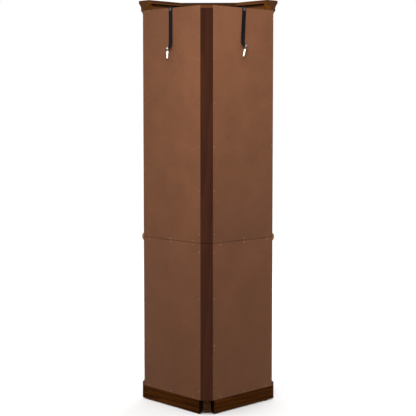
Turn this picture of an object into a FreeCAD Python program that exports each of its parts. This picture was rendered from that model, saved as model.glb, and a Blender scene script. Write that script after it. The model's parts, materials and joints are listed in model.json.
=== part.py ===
import FreeCAD, Part
import math
import os
import re
import Sketcher

V = FreeCAD.Vector
Z_AXIS = V(0, 0, 1)
DOCUMENT = FreeCAD.newDocument("CornerCabinet")

# A tall corner cabinet in two units. It stands on the floor at z = 0, +Z up, its front faces -Y and its
# chamfered back corner is at +Y. Left and right are as seen from the front.
#
# The plan is a square with its front corner cut off. Wall frame: the two wall planes meet at the virtual
# back corner. "depth" is the distance in from a side's own wall and "along" the distance along that wall.

SIZES = {
    "overall_height": 1981,
    "wall_length": 452,
    "return_length": 230,
    "corner_face": 60,
    "seam_height": 820,
    "seam_gap": 1.6,
    "crown_height": 49,
    "panel_thickness": 4,
    "board_thickness": 18,
    "roof_thickness": 13,
    "glide_height": 5,
    "glide_radius": 9,
    "plinth_thickness": 19,
    "plinth_projection": 12.7,
    "plinth_lip": 24,
    "plinth_round": 11,
    "back_plinth_top": 68.5,
    "plinth_end_reach": 51.6,
    "corner_block_setback": 8,
    "corner_block_drop": 3,
    "waist_half": 19,
    "waist_projection": 12.7,
    "crown_projection": 30,
    "crown_drop": 16.5,
    "crown_wall": 18,
    "crown_bead": 12,
    "crown_lip": 2,
    "crown_bead_round": 16,
    "crown_fillet_round": 3,
    "crown_step_round": 4,
    "crown_step": 7,
    "crown_cove_round": 34,
    "cap_round": 3,
    "cap_thickness": 16,
    "cap_width": 74,
    "end_block_depth": 20,
    "post_flank": 30,
    "post_depth": 18,
    "front_post_leg": 28,
    "bottom_rail_height": 23.5,
    "header_height": 40,
    "rail_height": 18,
    "rail_depth": 18,
    "drawer_opening": 100,
    "deck_thickness": 12,
    "stile_width": 36,
    "side_rail_height": 48,
    "glass_thickness": 4,
    "mirror_thickness": 3,
    "shelf_gap": 1.5,
    "glass_shelf_thickness": 6,
    "shelf_setback": 40,
    "glass_shelf_low": 1110,
    "glass_shelf_step": 268,
    "base_shelf_height": 330,
    "base_shelf_thickness": 15,
    "pin_radius": 2.5,
    "pin_out": 8,
    "pin_in": 9,
    "seat_gap": 0.2,
    "door_gap": 2,
    "door_thickness": 20,
    "door_stile": 42,
    "door_rail": 50,
    "door_panel_thickness": 10,
    "hinge_height": 60,
    "hinge_leaf": 14,
    "hinge_plate": 1.5,
    "hinge_barrel": 3.2,
    "hinge_pin": 1.5,
    "hinge_play": 0.05,
    "hinge_inset": 110,
    "knob_radius": 13,
    "knob_neck": 5,
    "knob_length": 24,
    "knob_rim": 6,
    "knob_flat": 2,
    "knob_plate": 2.5,
    "knob_plate_radius": 9.1,
    "catch_width": 42,
    "catch_depth": 13,
    "catch_height": 26,
    "drawer_side_gap": 0.7,
    "drawer_half": 121,
    "drawer_length": 290,
    "drawer_wall": 10,
    "drawer_bottom": 5,
    "drawer_height": 72,
    "drawer_front_thickness": 18,
    "guide_width": 10,
    "guide_height": 14,
    "guide_length": 270,
    "guide_setback": 24,
    "pad_gap": 0.3,
    "pad_height": 26,
    "tray_height": 34,
    "tray_wall": 4,
    "tray_floor": 2,
    "tray_clear": 0.5,
    "nail_radius": 1.5,
    "nail_length": 12,
    "nail_head": 0.5,
    "nail_inset": 7,
    "nail_end": 43,
    "strap_reach": 247,
    "strap_width": 25,
    "strap_thickness": 1.6,
    "strap_screw_drop": 6.5,
    "washer_radius": 8,
    "washer_thickness": 1.2,
    "screw_radius": 2,
    "screw_head_radius": 4,
    "screw_head_top": 3.2,
    "screw_head_height": 2.6,
    "screw_length": 24,
    "anchor_washer_radius": 9.5,
    "anchor_washer_height": 3,
    "anchor_head_radius": 4.5,
    "anchor_head_height": 6,
    "anchor_length": 42,
    "plug_radius": 4.5,
    "plug_tip_radius": 3.375,
    "plug_length": 34,
    "plug_collar": 1.5,
    "plug_collar_radius": 5.4,
    "plug_start": 12,
}

# Names worked out from the driving sizes above.
DERIVED = {
    "corner_reach": "corner_face * sqrt(0.5)",
    "post_reach": "corner_reach + post_flank",
    "depth_overall": "(wall_length + return_length) * sqrt(0.5) - corner_face / 2 + crown_projection",
    "corner_y": "depth_overall / 2 + corner_face / 2",
    "front_y": "corner_y - (wall_length + return_length) * sqrt(0.5)",
    "opening_half": "(wall_length - return_length) * sqrt(0.5) - front_post_leg",
    "inner_along": "wall_length - board_thickness",
    "base_floor": "back_plinth_top + board_thickness",
    "base_ceiling": "seam_height - board_thickness",
    "upper_floor": "seam_height + board_thickness",
    "panel_top": "overall_height - crown_height",
    "upper_ceiling": "panel_top - roof_thickness",
    "crown_top": "overall_height - cap_thickness",
    "door_bottom": "base_floor + bottom_rail_height",
    "rail_a": "base_ceiling - drawer_opening",
    "rail_b": "rail_a - rail_height - drawer_opening",
    "door_top": "rail_b - rail_height",
    "header_low": "upper_ceiling - header_height",
    "shelf_edge": "inner_along - shelf_gap",
    "shelf_front": "wall_length + return_length - shelf_setback * sqrt(2)",
    "shelf_back": "post_reach + panel_thickness + post_depth + shelf_gap * 2",
    "mirror_face": "panel_thickness + mirror_thickness",
    "barrel_y": "front_y - hinge_barrel - seat_gap",
    "half_turn": "sqrt(2) - 1",
}

SIDES = ("left", "right")
PARTS = []

sheet = DOCUMENT.addObject("Spreadsheet::Sheet", "Sizes")
for row, (alias, number) in enumerate(SIZES.items(), start=1):
    sheet.set(f"A{row}", alias)
    sheet.set(f"B{row}", str(number))
    sheet.setAlias(f"B{row}", alias)
DOCUMENT.recompute()


def bound(text):
    """The sheet expression of a rule written with the plain names of sizes."""
    text = str(text)
    while True:
        wider = re.sub(r"[a-z][a-z_]+", lambda w: f"({DERIVED[w[0]]})" if w[0] in DERIVED else w[0], text)
        if wider == text:
            break
        text = wider
    return re.sub(r"[a-z][a-z_]+", lambda w: f"Sizes.{w[0]}" if w[0] in SIZES else w[0], text)


def value(text):
    """The number that a rule gives for the sizes in the sheet."""
    return float(sheet.evalExpression(bound(text)))


def bind(thing, **rules):
    """Bind properties to rules: a double underscore in a name stands for a dot."""
    for name, rule in rules.items():
        thing.setExpression(name.replace("__", "."), bound(rule))


def place(thing, x, y, z, turn=0):
    """Put a piece at (x, y, z), turned about the vertical."""
    thing.Placement = FreeCAD.Placement(V(value(x), value(y), value(z)), FreeCAD.Rotation(Z_AXIS, turn))
    bind(thing, Placement__Base__x=x, Placement__Base__y=y, Placement__Base__z=z)


def keep(thing, label):
    """Name a finished sub-part."""
    thing.Label = label
    PARTS.append(thing)
    return thing


def group(label, pieces):
    """One node of several separate solids."""
    made = DOCUMENT.addObject("Part::Compound", f"{label}_group")
    made.Links = pieces
    return keep(made, label)


# Directions in the wall frame, turned into the row frame.
WALL_TURN = -135
OUTWARD_TURN = {"right": -45, "left": -135, "front": -90}
SIGN = {"left": -1, "right": 1}
SIDE_OUT = {"right": (1, 1), "left": (-1, 1)}


def wall_point(side, depth, along):
    """Row x and y rules of a point given in from a side's wall and along it."""
    sign = SIGN[side]
    return f"{sign} * (({along}) - ({depth})) * sqrt(0.5)", f"corner_y - (({along}) + ({depth})) * sqrt(0.5)"


def box(name, x, y, z, length, width, height):
    """A board square to the row frame, from its low corner."""
    board = DOCUMENT.addObject("Part::Box", name)
    bind(board, Length=length, Width=width, Height=height)
    place(board, x, y, z)
    return board


def wall_box(name, side, depth, along, z, deep, long, height):
    """A board square to the walls, from its corner nearest the back corner."""
    board = DOCUMENT.addObject("Part::Box", f"{name}_{side}")
    right = side == "right"
    bind(board, Length=deep if right else long, Width=long if right else deep, Height=height)
    x, y = wall_point(side, depth, along)
    place(board, x, y, z, WALL_TURN)
    return board


def rod(name, start, direction, radius, length):
    """A round rod from a point along a direction."""
    cylinder = DOCUMENT.addObject("Part::Cylinder", name)
    bind(cylinder, Radius=radius, Height=length)
    turn = FreeCAD.Rotation(Z_AXIS, V(*direction))
    cylinder.Placement = FreeCAD.Placement(V(*[value(rule) for rule in start]), turn)
    x, y, z = start
    bind(cylinder, Placement__Base__x=x, Placement__Base__y=y, Placement__Base__z=z)
    return cylinder


def outline(body, role, corners):
    """A closed sketch through corners.

    A corner may carry the radius rule of the arc that leaves it, with a minus sign when the arc's centre
    lies to the right of the way round.
    """
    sketch = body.newObject("Sketcher::SketchObject", f"{body.Name}_outline")
    sketch.AttachmentSupport = ([f for f in body.Origin.OriginFeatures if f.Role == role][0], [""])
    sketch.MapMode = "FlatFace"
    points = [V(value(corner[0]), value(corner[1]), 0) for corner in corners]
    starts = []
    for index, corner in enumerate(corners):
        here, there = points[index], points[(index + 1) % len(points)]
        if len(corner) == 2:
            sketch.addGeometry(Part.LineSegment(here, there))
            starts.append((1, 2))
            continue
        signed = value(corner[2])
        chord = there - here
        rise = math.sqrt(max(signed ** 2 - (chord.Length / 2) ** 2, 0))
        left = V(-chord.y, chord.x, 0).normalize()
        centre = (here + there) * 0.5 + left * math.copysign(rise, signed)
        angles = [math.atan2(p.y - centre.y, p.x - centre.x) for p in (here, there)]
        if signed < 0:
            angles.reverse()
        circle = Part.Circle(centre, Z_AXIS, abs(signed))
        sketch.addGeometry(Part.ArcOfCircle(circle, *angles))
        starts.append((1, 2) if signed > 0 else (2, 1))
    for index in range(len(corners)):
        after = (index + 1) % len(corners)
        joined = (index, starts[index][1], after, starts[after][0])
        sketch.addConstraint(Sketcher.Constraint("Coincident", *joined))
    for index, corner in enumerate(corners):
        for kind, rule in zip(("DistanceX", "DistanceY"), corner):
            number = sketch.addConstraint(Sketcher.Constraint(kind, index, starts[index][0], value(rule)))
            sketch.setExpression(f"Constraints[{number}]", bound(rule))
        if len(corner) == 3:
            number = sketch.addConstraint(Sketcher.Constraint("Radius", index, abs(value(corner[2]))))
            sketch.setExpression(f"Constraints[{number}]", f"abs({bound(corner[2])})")
    return sketch


def prism(name, corners, z, height, walls=True):
    """An upright board of any plan. With walls, corners are (in from the right wall, in from the left)."""
    body = DOCUMENT.addObject("PartDesign::Body", name)
    pad = body.newObject("PartDesign::Pad", f"{name}_pad")
    pad.Profile = outline(body, "XY_Plane", corners)
    bind(pad, Length=height)
    if walls:
        place(body, 0, "corner_y", z, WALL_TURN)
    else:
        place(body, 0, 0, z)
    return body


def bar(name, corners, length, x, y, z, turn):
    """A bar whose section is drawn as (outwards, up), long both ways from its middle."""
    body = DOCUMENT.addObject("PartDesign::Body", name)
    pad = body.newObject("PartDesign::Pad", f"{name}_pad")
    pad.Profile = outline(body, "XZ_Plane", corners)
    pad.Midplane = True
    bind(pad, Length=length)
    place(body, x, y, z, turn)
    return body


def turned(name, corners, x, y, z, direction):
    """A turned piece: its half section is drawn as (radius, along its axis)."""
    body = DOCUMENT.addObject("PartDesign::Body", name)
    spin = body.newObject("PartDesign::Revolution", f"{name}_spin")
    sketch = outline(body, "XZ_Plane", corners)
    spin.Profile = sketch
    spin.ReferenceAxis = (sketch, ["V_Axis"])
    spin.Angle = 360
    turn = FreeCAD.Rotation(Z_AXIS, V(*direction))
    body.Placement = FreeCAD.Placement(V(value(x), value(y), value(z)), turn)
    bind(body, Placement__Base__x=x, Placement__Base__y=y, Placement__Base__z=z)
    return body


def mirrored(points):
    """The same plan points on the other side of the middle, in the order that closes the outline."""
    return [(b, a) for a, b in reversed(points)]


# --- Plan outlines -----------------------------------------------------------------------------------

POST_NOTCH = [("panel_thickness + post_depth", "post_reach"), ("panel_thickness", "post_reach")]
INSIDE_POST = mirrored(POST_NOTCH) + POST_NOTCH
POST_BACK = [("return_length - front_post_leg", "inner_along")]
POST_EDGE = [(
    "return_length + (front_post_leg - board_thickness) * sqrt(0.5)",
    "wall_length - (front_post_leg + board_thickness) * sqrt(0.5)",
)]


def full_board(back):
    """A board as large as the carcass, with the given back edge."""
    front = [("panel_thickness", "wall_length"), ("return_length", "wall_length")]
    return back + front + mirrored(front)


def shelf_plan(wall_face):
    """A shelf inside the carcass, clear of its walls."""
    side = [
        (wall_face, f"shelf_back - ({wall_face})"),
        (wall_face, "shelf_edge"),
        ("shelf_front - shelf_edge", "shelf_edge"),
    ]
    return side + mirrored(side)


def front_post(name, z, height):
    """The pair of posts where the side returns meet the front."""
    edge = [("return_length + front_post_leg * sqrt(0.5)", "wall_length - front_post_leg * sqrt(0.5)")]
    outer = [("return_length - front_post_leg", "wall_length"), ("return_length", "wall_length")]
    corners = POST_BACK + outer + edge + POST_EDGE
    pair = [prism(f"{name}_right", corners, z, height)]
    pair.append(prism(f"{name}_left", mirrored(corners), z, height))
    return group(name, pair)


def moulding(name, corners, inner, outer, z, height):
    """Three mitred lengths round the sides and front, the rear ends cut in the wall planes."""
    lengths = []
    side = [
        ("0", f"wall_length - ({inner})"),
        ("0", f"wall_length + ({outer})"),
        (f"return_length + ({outer}) * (half_turn)", f"wall_length + ({outer})"),
        (f"return_length - ({inner}) * (half_turn)", f"wall_length - ({inner})"),
    ]
    plans = {"right": side, "left": mirrored(side), "front": side[2:] + mirrored(side[2:])}
    spots = {
        "right": wall_point("right", "return_length / 2", "wall_length"),
        "left": wall_point("left", "return_length / 2", "wall_length"),
        "front": ("0", "front_y"),
    }
    for where, plan in plans.items():
        x, y = spots[where]
        length = bar(f"{name}_{where}_bar", corners, "wall_length * 2", x, y, 0, OUTWARD_TURN[where])
        mitre = prism(f"{name}_{where}_mitre", plan, z, height)
        cut = DOCUMENT.addObject("Part::Common", f"{name}_{where}")
        cut.Base = length
        cut.Tool = mitre
        lengths.append(cut)
    return lengths


# --- Plinth ------------------------------------------------------------------------------------------

def make_plinth():
    lip_top = "back_plinth_top + plinth_lip"
    section = [
        ("plinth_projection - plinth_thickness", "glide_height"),
        ("plinth_projection", "glide_height"),
        ("plinth_projection", f"{lip_top} - plinth_round", "plinth_round"),
        ("plinth_projection - plinth_round", lip_top),
        ("0", lip_top),
        ("0", "back_plinth_top"),
        ("plinth_projection - plinth_thickness", "back_plinth_top"),
    ]
    lengths = moulding("plinth", section, "plinth_thickness", "plinth_projection", "0", "seam_height")
    fronts = []
    for where, length in zip(("right", "left", "front"), lengths):
        if where == "front":
            fronts.append(length)
            continue
        seat = wall_box(
            f"plinth_seat_{where}", where, "0", "wall_length - plinth_thickness", "0",
            "plinth_thickness", "plinth_thickness * 3", "back_plinth_top",
        )
        notched = DOCUMENT.addObject("Part::Cut", f"plinth_{where}_notched")
        notched.Base = length
        notched.Tool = seat
        fronts.append(notched)
    group("plinth_mouldings", fronts)
    height = "back_plinth_top - glide_height"
    long = "wall_length + plinth_projection - plinth_end_reach"
    group("plinth_back_boards", [
        wall_box("plinth_back", side, "0", "plinth_end_reach", "glide_height",
                 "plinth_thickness", long, height)
        for side in SIDES
    ])
    face = "plinth_end_reach + plinth_thickness + corner_block_setback"
    near = [
        ("plinth_thickness", f"{face} - plinth_thickness"),
        ("plinth_thickness", "post_reach + post_flank"),
    ]
    block = prism("corner_block", near + mirrored(near), "glide_height", f"{height} - corner_block_drop")
    keep(block, "plinth_corner_block")
    spots = [
        wall_point("right", "plinth_thickness / 2", "wall_length - plinth_thickness * 2"),
        wall_point("left", "plinth_thickness / 2", "wall_length - plinth_thickness * 2"),
        ("0", "corner_y - (plinth_end_reach + plinth_thickness * 2 + post_flank) * sqrt(0.5)"),
        ("opening_half", "front_y + plinth_thickness / 2 - plinth_projection / 2"),
        ("0 - (opening_half)", "front_y + plinth_thickness / 2 - plinth_projection / 2"),
    ]
    group("floor_glides", [
        rod(f"glide_{n}", (x, y, "0"), (0, 0, 1), "glide_radius", "glide_height")
        for n, (x, y) in enumerate(spots)
    ])


# --- Carcass boards ----------------------------------------------------------------------------------

def make_boards():
    inside = full_board(INSIDE_POST)
    keep(prism("base_bottom", inside, "back_plinth_top", "board_thickness"), "base_bottom_panel")
    keep(prism("base_top", inside, "base_ceiling", "board_thickness"), "base_top_panel")
    keep(prism("upper_bottom", inside, "seam_height", "board_thickness"), "upper_bottom_panel")
    chamfer = [("corner_reach", "panel_thickness"), ("corner_reach", "0")]
    over_post = chamfer + mirrored(chamfer)
    keep(prism("roof", full_board(over_post), "upper_ceiling", "roof_thickness"), "roof_panel")
    flank = [("post_reach", "panel_thickness + post_depth"), ("post_reach", "panel_thickness")] + chamfer
    post = flank + mirrored(flank)
    base_post = prism("base_post", post, "back_plinth_top", "seam_height - back_plinth_top - seam_gap / 2")
    keep(base_post, "base_back_post")
    upper_low = "seam_height + seam_gap / 2"
    keep(prism("upper_post", post, upper_low, f"upper_ceiling - ({upper_low})"), "upper_back_post")
    long = "wall_length - corner_reach"
    for side in SIDES:
        base = wall_box(
            "base_back", side, "0", "corner_reach", "back_plinth_top",
            "panel_thickness", long, "seam_height - back_plinth_top - seam_gap / 2",
        )
        keep(base, f"base_back_panel_{side}")
        upper = wall_box(
            "upper_back", side, "0", "corner_reach", upper_low,
            "panel_thickness", long, f"panel_top - ({upper_low})",
        )
        keep(upper, f"upper_back_panel_{side}")
    front_post("base_front_posts", "base_floor", "base_ceiling - (base_floor)")
    front_post("upper_front_posts", "upper_floor", "upper_ceiling - (upper_floor)")
    group("base_sides", [
        wall_box(
            "base_side", side, "panel_thickness", "inner_along", "base_floor",
            "return_length - front_post_leg - panel_thickness", "board_thickness",
            "base_ceiling - (base_floor)",
        )
        for side in SIDES
    ])
    half = "opening_half"
    rails = [
        ("base_floor", "bottom_rail_height"),
        ("door_top", "rail_height"),
        ("rail_a - rail_height", "rail_height"),
    ]
    group("base_front_rails", [
        box(f"rail_{n}", f"0 - ({half})", "front_y", z, f"2 * ({half})", "rail_depth", height)
        for n, (z, height) in enumerate(rails)
    ])
    deep = "door_thickness + seat_gap"
    header = box("header", f"0 - ({half})", "front_y", "header_low", f"2 * ({half})", deep, "header_height")
    keep(header, "upper_header_rail")


def make_side_frames():
    clear = "return_length - front_post_leg - panel_thickness"
    tall = "upper_ceiling - (upper_floor)"
    panes = []
    for side in SIDES:
        depths = ("panel_thickness", "return_length - front_post_leg - stile_width")
        pieces = [
            wall_box(f"side_stile_{n}", side, depth, "inner_along", "upper_floor", "stile_width",
                     "board_thickness", tall)
            for n, depth in enumerate(depths)
        ]
        inner = "panel_thickness + stile_width"
        across = f"{clear} - 2 * stile_width"
        for n, z in enumerate(("upper_floor", "upper_ceiling - side_rail_height")):
            pieces.append(wall_box(f"side_rail_{n}", side, inner, "inner_along", z, across,
                                   "board_thickness", "side_rail_height"))
        group(f"upper_side_frame_{side}", pieces)
        panes.append(wall_box(
            "side_pane", side, inner, "inner_along + (board_thickness - glass_thickness) / 2",
            "upper_floor + side_rail_height", across, "glass_thickness", f"{tall} - 2 * side_rail_height",
        ))
    group("side_glass", panes)
    group("mirrors", [
        wall_box("mirror", side, "panel_thickness", "post_reach", "upper_floor", "mirror_thickness",
                 "inner_along - (post_reach)", tall)
        for side in SIDES
    ])


# --- Mouldings ---------------------------------------------------------------------------------------

def make_mouldings():
    waist = []
    reach = "waist_projection"
    arc = "(waist_half ^ 2 + waist_projection ^ 2) / (2 * waist_projection)"
    lower = [("0", "seam_height - waist_half", arc), (reach, "seam_height"), ("0", "seam_height")]
    upper = [("0", "seam_height"), (reach, "seam_height", arc), ("0", "seam_height + waist_half")]
    waist += moulding("waist_base", lower, "1", reach, "seam_height - waist_half * 2", "waist_half * 4")
    waist += moulding("waist_upper", upper, "1", reach, "seam_height - waist_half * 2", "waist_half * 4")
    group("waist_moulding", waist)
    low = "panel_top - crown_drop"
    bead = "crown_bead"
    section = [
        ("0", low),
        ("crown_lip", low, "0 - crown_bead_round"),
        (f"{bead} - crown_fillet_round", f"{low} + {bead}"),
        (bead, f"{low} + {bead}", "crown_step_round"),
        (bead, f"{low} + {bead} + crown_step"),
        (f"{bead} + crown_lip / 2", f"{low} + {bead} + crown_step", "0 - crown_cove_round"),
        ("crown_projection - crown_lip", "crown_top"),
        ("0 - crown_wall", "crown_top"),
        ("0 - crown_wall", "panel_top"),
        ("0", "panel_top"),
    ]
    reach = "crown_projection"
    tall = "crown_top - panel_top + crown_drop"
    group("crown_moulding", moulding("crown", section, "crown_wall", reach, low, tall))
    inner = "cap_width - crown_projection"
    section = [
        (f"0 - ({inner})", "crown_top"),
        (f"{reach} - cap_round", "crown_top", "cap_round"),
        (reach, "crown_top + cap_round"),
        (reach, "overall_height - cap_round", "cap_round"),
        (f"{reach} - cap_round", "overall_height"),
        (f"0 - ({inner})", "overall_height"),
    ]
    group("crown_cap_frame", moulding("cap", section, inner, reach, "crown_top", "cap_thickness"))
    group("crown_end_blocks", [
        wall_box("end_block", side, "0", f"wall_length - ({inner})", "panel_top", "end_block_depth",
                 f"{inner} - crown_wall", "crown_top - panel_top")
        for side in SIDES
    ])


# --- Shelves, decks and guides -----------------------------------------------------------------------

def make_shelves():
    glass_plan = shelf_plan("mirror_face + shelf_gap")
    heights = [f"glass_shelf_low + {n} * glass_shelf_step" for n in range(3)]
    group("glass_shelves", [
        prism(f"glass_shelf_{n}", glass_plan, z, "glass_shelf_thickness") for n, z in enumerate(heights)
    ])
    wood_plan = shelf_plan("panel_thickness + shelf_gap")
    keep(prism("wood_shelf", wood_plan, "base_shelf_height", "base_shelf_thickness"), "base_shelf")
    pins = []
    for z in heights + ["base_shelf_height"]:
        level = f"{z} - pin_radius - seat_gap"
        for side in SIDES:
            depths = ("panel_thickness + stile_width / 2", "return_length - front_post_leg - stile_width / 2")
            for depth in depths:
                x, y = wall_point(side, depth, "inner_along - pin_out")
                turn = math.radians(OUTWARD_TURN[side])
                outward = (math.cos(turn), math.sin(turn), 0)
                pins.append(rod(f"pin_{len(pins)}", (x, y, level), outward, "pin_radius", "pin_out + pin_in"))
    group("shelf_pins", pins)


def make_decks():
    side = [("panel_thickness", "post_reach"), ("panel_thickness", "inner_along")] + POST_BACK + POST_EDGE
    plan = side + mirrored(side) + [POST_NOTCH[0][::-1], POST_NOTCH[0]]
    tops = ("rail_a", "rail_b")
    group("drawer_decks", [
        prism(f"deck_{n}", plan, f"{top} - deck_thickness", "deck_thickness")
        for n, top in enumerate(tops)
    ])
    pieces = []
    for n, top in enumerate(tops):
        near = "drawer_half + drawer_side_gap"
        for sign, x in ((1, near), (-1, f"0 - ({near}) - guide_width")):
            pieces.append(box(f"guide_{n}_{sign + 1}", x, "front_y + guide_setback", top,
                              "guide_width", "guide_length", "guide_height"))
        rear = "front_y + drawer_front_thickness + drawer_length + tray_clear"
        pieces.append(box(f"stop_{n}", "0 - guide_width * 2", rear, top, "guide_width * 4",
                          "guide_width", "guide_height"))
    group("drawer_guides", pieces)


# --- Hinges, knobs and catches -----------------------------------------------------------------------

def leaf(name, sign, z, knuckles, bore):
    """One hinge leaf: a plate on the front face and its knuckles, bored for the pin."""
    third = "hinge_height / 3"
    x = "0 - (opening_half) + door_gap / 2"
    start = x if sign > 0 else f"{x} - hinge_leaf"
    plate = box(f"{name}_plate", start, "front_y - hinge_plate", z, "hinge_leaf",
                "hinge_plate", "hinge_height")
    rods = [
        rod(f"{name}_knuckle_{n}", (x, "barrel_y", f"{z} + {n} * ({third}) + seat_gap / 2"), (0, 0, 1),
            "hinge_barrel", f"{third} - seat_gap")
        for n in knuckles
    ]
    relief = [
        rod(f"{name}_relief_{n}", (x, "barrel_y", f"{z} + {n} * ({third}) - seat_gap / 2"), (0, 0, 1),
            "hinge_barrel + seat_gap * 2", f"{third} + seat_gap")
        for n in range(3) if n not in knuckles
    ]
    hole = rod(f"{name}_bore", (x, "barrel_y", f"{z} - 1"), (0, 0, 1), bore, "hinge_height + 2")
    webs = [
        box(f"{name}_web_{n}", x if sign > 0 else f"{x} - hinge_barrel", "barrel_y",
            f"{z} + {n} * ({third}) + seat_gap / 2", "hinge_barrel",
            "hinge_barrel + seat_gap", f"{third} - seat_gap")
        for n in knuckles
    ]
    whole = DOCUMENT.addObject("Part::MultiFuse", f"{name}_whole")
    whole.Shapes = [plate] + rods + webs
    away = DOCUMENT.addObject("Part::MultiFuse", f"{name}_away")
    away.Shapes = [hole] + relief
    made = DOCUMENT.addObject("Part::Cut", name)
    made.Base = whole
    made.Tool = away
    return made


def make_hinges():
    upper_low = "upper_floor + hinge_inset"
    upper_high = "header_low - hinge_inset - hinge_height"
    rows = {
        "upper_door_hinges": [upper_low, f"(({upper_low}) + ({upper_high})) / 2", upper_high],
        "lower_door_hinges": ["door_bottom + hinge_inset / 2", "door_top - hinge_inset / 2 - hinge_height"],
    }
    plates = []
    pins = []
    for name, heights in rows.items():
        leaves = []
        for n, z in enumerate(heights):
            leaves.append(leaf(f"{name}_{n}", 1, z, (1,), "hinge_pin + hinge_play"))
            plates.append(leaf(f"{name}_fixed_{n}", -1, z, (0, 2), "hinge_pin"))
            spot = ("0 - (opening_half) + door_gap / 2", "barrel_y", z)
            pins.append(rod(f"{name}_pin_{n}", spot, (0, 0, 1), "hinge_pin", "hinge_height"))
        group(name, leaves)
    group("hinge_plates", plates)
    group("hinge_pins", pins)


def knob(label, x, z, face):
    """A turned brass knob with a back plate, pointing to the front."""
    section = [
        ("0", "0"),
        ("knob_plate_radius", "0"),
        ("knob_plate_radius", "knob_plate"),
        ("knob_neck", "knob_plate"),
        ("knob_neck", "knob_length - knob_rim * 2"),
        ("knob_radius", "knob_length - knob_rim", "knob_radius + knob_rim"),
        ("knob_flat", "knob_length"),
        ("0", "knob_length"),
    ]
    keep(turned(f"{label}_turned", section, x, face, z, (0, -1, 0)), label)


def make_catches():
    """A magnet block behind the top edge of each door, under the header and under the lower deck."""
    x = "opening_half - door_stile - catch_width / 2"
    y = "front_y + door_thickness + seat_gap"
    heights = ("header_low - catch_height / 2", "rail_b - deck_thickness - catch_height")
    group("magnetic_catches", [
        box(f"catch_{n}", x, y, z, "catch_width", "catch_depth", "catch_height")
        for n, z in enumerate(heights)
    ])


# --- Doors and drawers -------------------------------------------------------------------------------

def door_frame(label, low, high):
    """Two stiles and two rails; returns the opening inside them."""
    x = "door_gap - (opening_half)"
    wide = "2 * (opening_half) - 2 * door_gap"
    base = f"{low} + door_gap"
    tall = f"({high}) - ({low}) - 2 * door_gap"
    stiles = [
        box(f"{label}_stile_{n}", start, "front_y", base, "door_stile", "door_thickness", tall)
        for n, start in enumerate((x, "opening_half - door_gap - door_stile"))
    ]
    inner = f"{x} + door_stile"
    across = f"{wide} - 2 * door_stile"
    rails = [
        box(f"{label}_rail_{n}", inner, "front_y", z, across, "door_thickness", "door_rail")
        for n, z in enumerate((base, f"{high} - door_gap - door_rail"))
    ]
    group(label, stiles + rails)
    return inner, f"{base} + door_rail", across, f"{tall} - 2 * door_rail"


def make_doors():
    x, z, across, tall = door_frame("upper_door_frame", "upper_floor", "header_low")
    y = "front_y + (door_thickness - glass_thickness) / 2"
    keep(box("upper_pane", x, y, z, across, "glass_thickness", tall), "upper_door_glass")
    x, z, across, tall = door_frame("lower_door_frame", "door_bottom", "door_top")
    y = "front_y + (door_thickness - door_panel_thickness) / 2"
    keep(box("lower_panel", x, y, z, across, "door_panel_thickness", tall), "lower_door_panel")
    reach = "opening_half - door_gap - door_stile / 2"
    level = f"upper_floor + (header_low - (upper_floor)) * {KNOB_SHARE}"
    knob("upper_door_knob", reach, level, "front_y")
    knob("lower_door_knob", reach, "door_top - door_stile * 2.5", "front_y")


def drawer(name, low):
    """A drawer: its front, a box of two sides, a back and a bottom, and its knob."""
    front = "opening_half - door_gap"
    keep(box(f"{name}_face", f"0 - ({front})", "front_y", f"{low} + door_gap", f"2 * ({front})",
             "drawer_front_thickness", "drawer_opening - 2 * door_gap"), f"{name}_front")
    y = "front_y + drawer_front_thickness"
    z = f"{low} + seat_gap"
    sides = [
        box(f"{name}_side_{n}", x, y, z, "drawer_wall", "drawer_length", "drawer_height")
        for n, x in enumerate(("0 - drawer_half", "drawer_half - drawer_wall"))
    ]
    inner = "drawer_wall - drawer_half"
    across = "2 * (drawer_half - drawer_wall)"
    rear = f"{y} + drawer_length - drawer_wall"
    back = box(f"{name}_back", inner, rear, z, across, "drawer_wall", "drawer_height")
    floor = box(f"{name}_floor", inner, y, z, across, "drawer_length - drawer_wall", "drawer_bottom")
    group(f"{name}_box", sides + [back, floor])
    knob(f"{name}_knob", "0", f"{low} + drawer_opening / 2", "front_y")
    return f"{z} + drawer_bottom"


def make_drawers():
    y = "front_y + drawer_front_thickness + pad_gap"
    half = "drawer_half - drawer_wall - pad_gap"
    long = "drawer_length - drawer_wall - 2 * pad_gap"
    top = drawer("top_drawer", "rail_a")
    pad = box("ring_pad", f"0 - ({half})", y, f"{top} + pad_gap", f"2 * ({half})", long, "pad_height")
    keep(pad, "top_drawer_ring_pad")
    low = drawer("second_drawer", "rail_b")
    floor = box("tray_floor", f"0 - ({half})", y, low, f"2 * ({half})", long, "tray_floor")
    rise = f"{low} + tray_floor"
    walls = [
        box(f"tray_long_{n}", f"({part}) * (2 * ({half}) - tray_wall) - ({half})", y, rise,
            "tray_wall", long, "tray_height - tray_floor")
        for n, part in enumerate(("0", "1 / 3", "2 / 3", "1"))
    ]
    spans = [
        box(f"tray_span_{n}", f"0 - ({half})", f"{y} + ({part}) * ({long} - tray_wall)", rise,
            f"2 * ({half})", "tray_wall", "tray_height - tray_floor")
        for n, part in enumerate(("0", "1 / 3", "2 / 3", "1"))
    ]
    tray = DOCUMENT.addObject("Part::MultiFuse", "tray")
    tray.Shapes = [floor] + walls + spans
    keep(tray, "second_drawer_tray")


# --- Panel nails -------------------------------------------------------------------------------------

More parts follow.
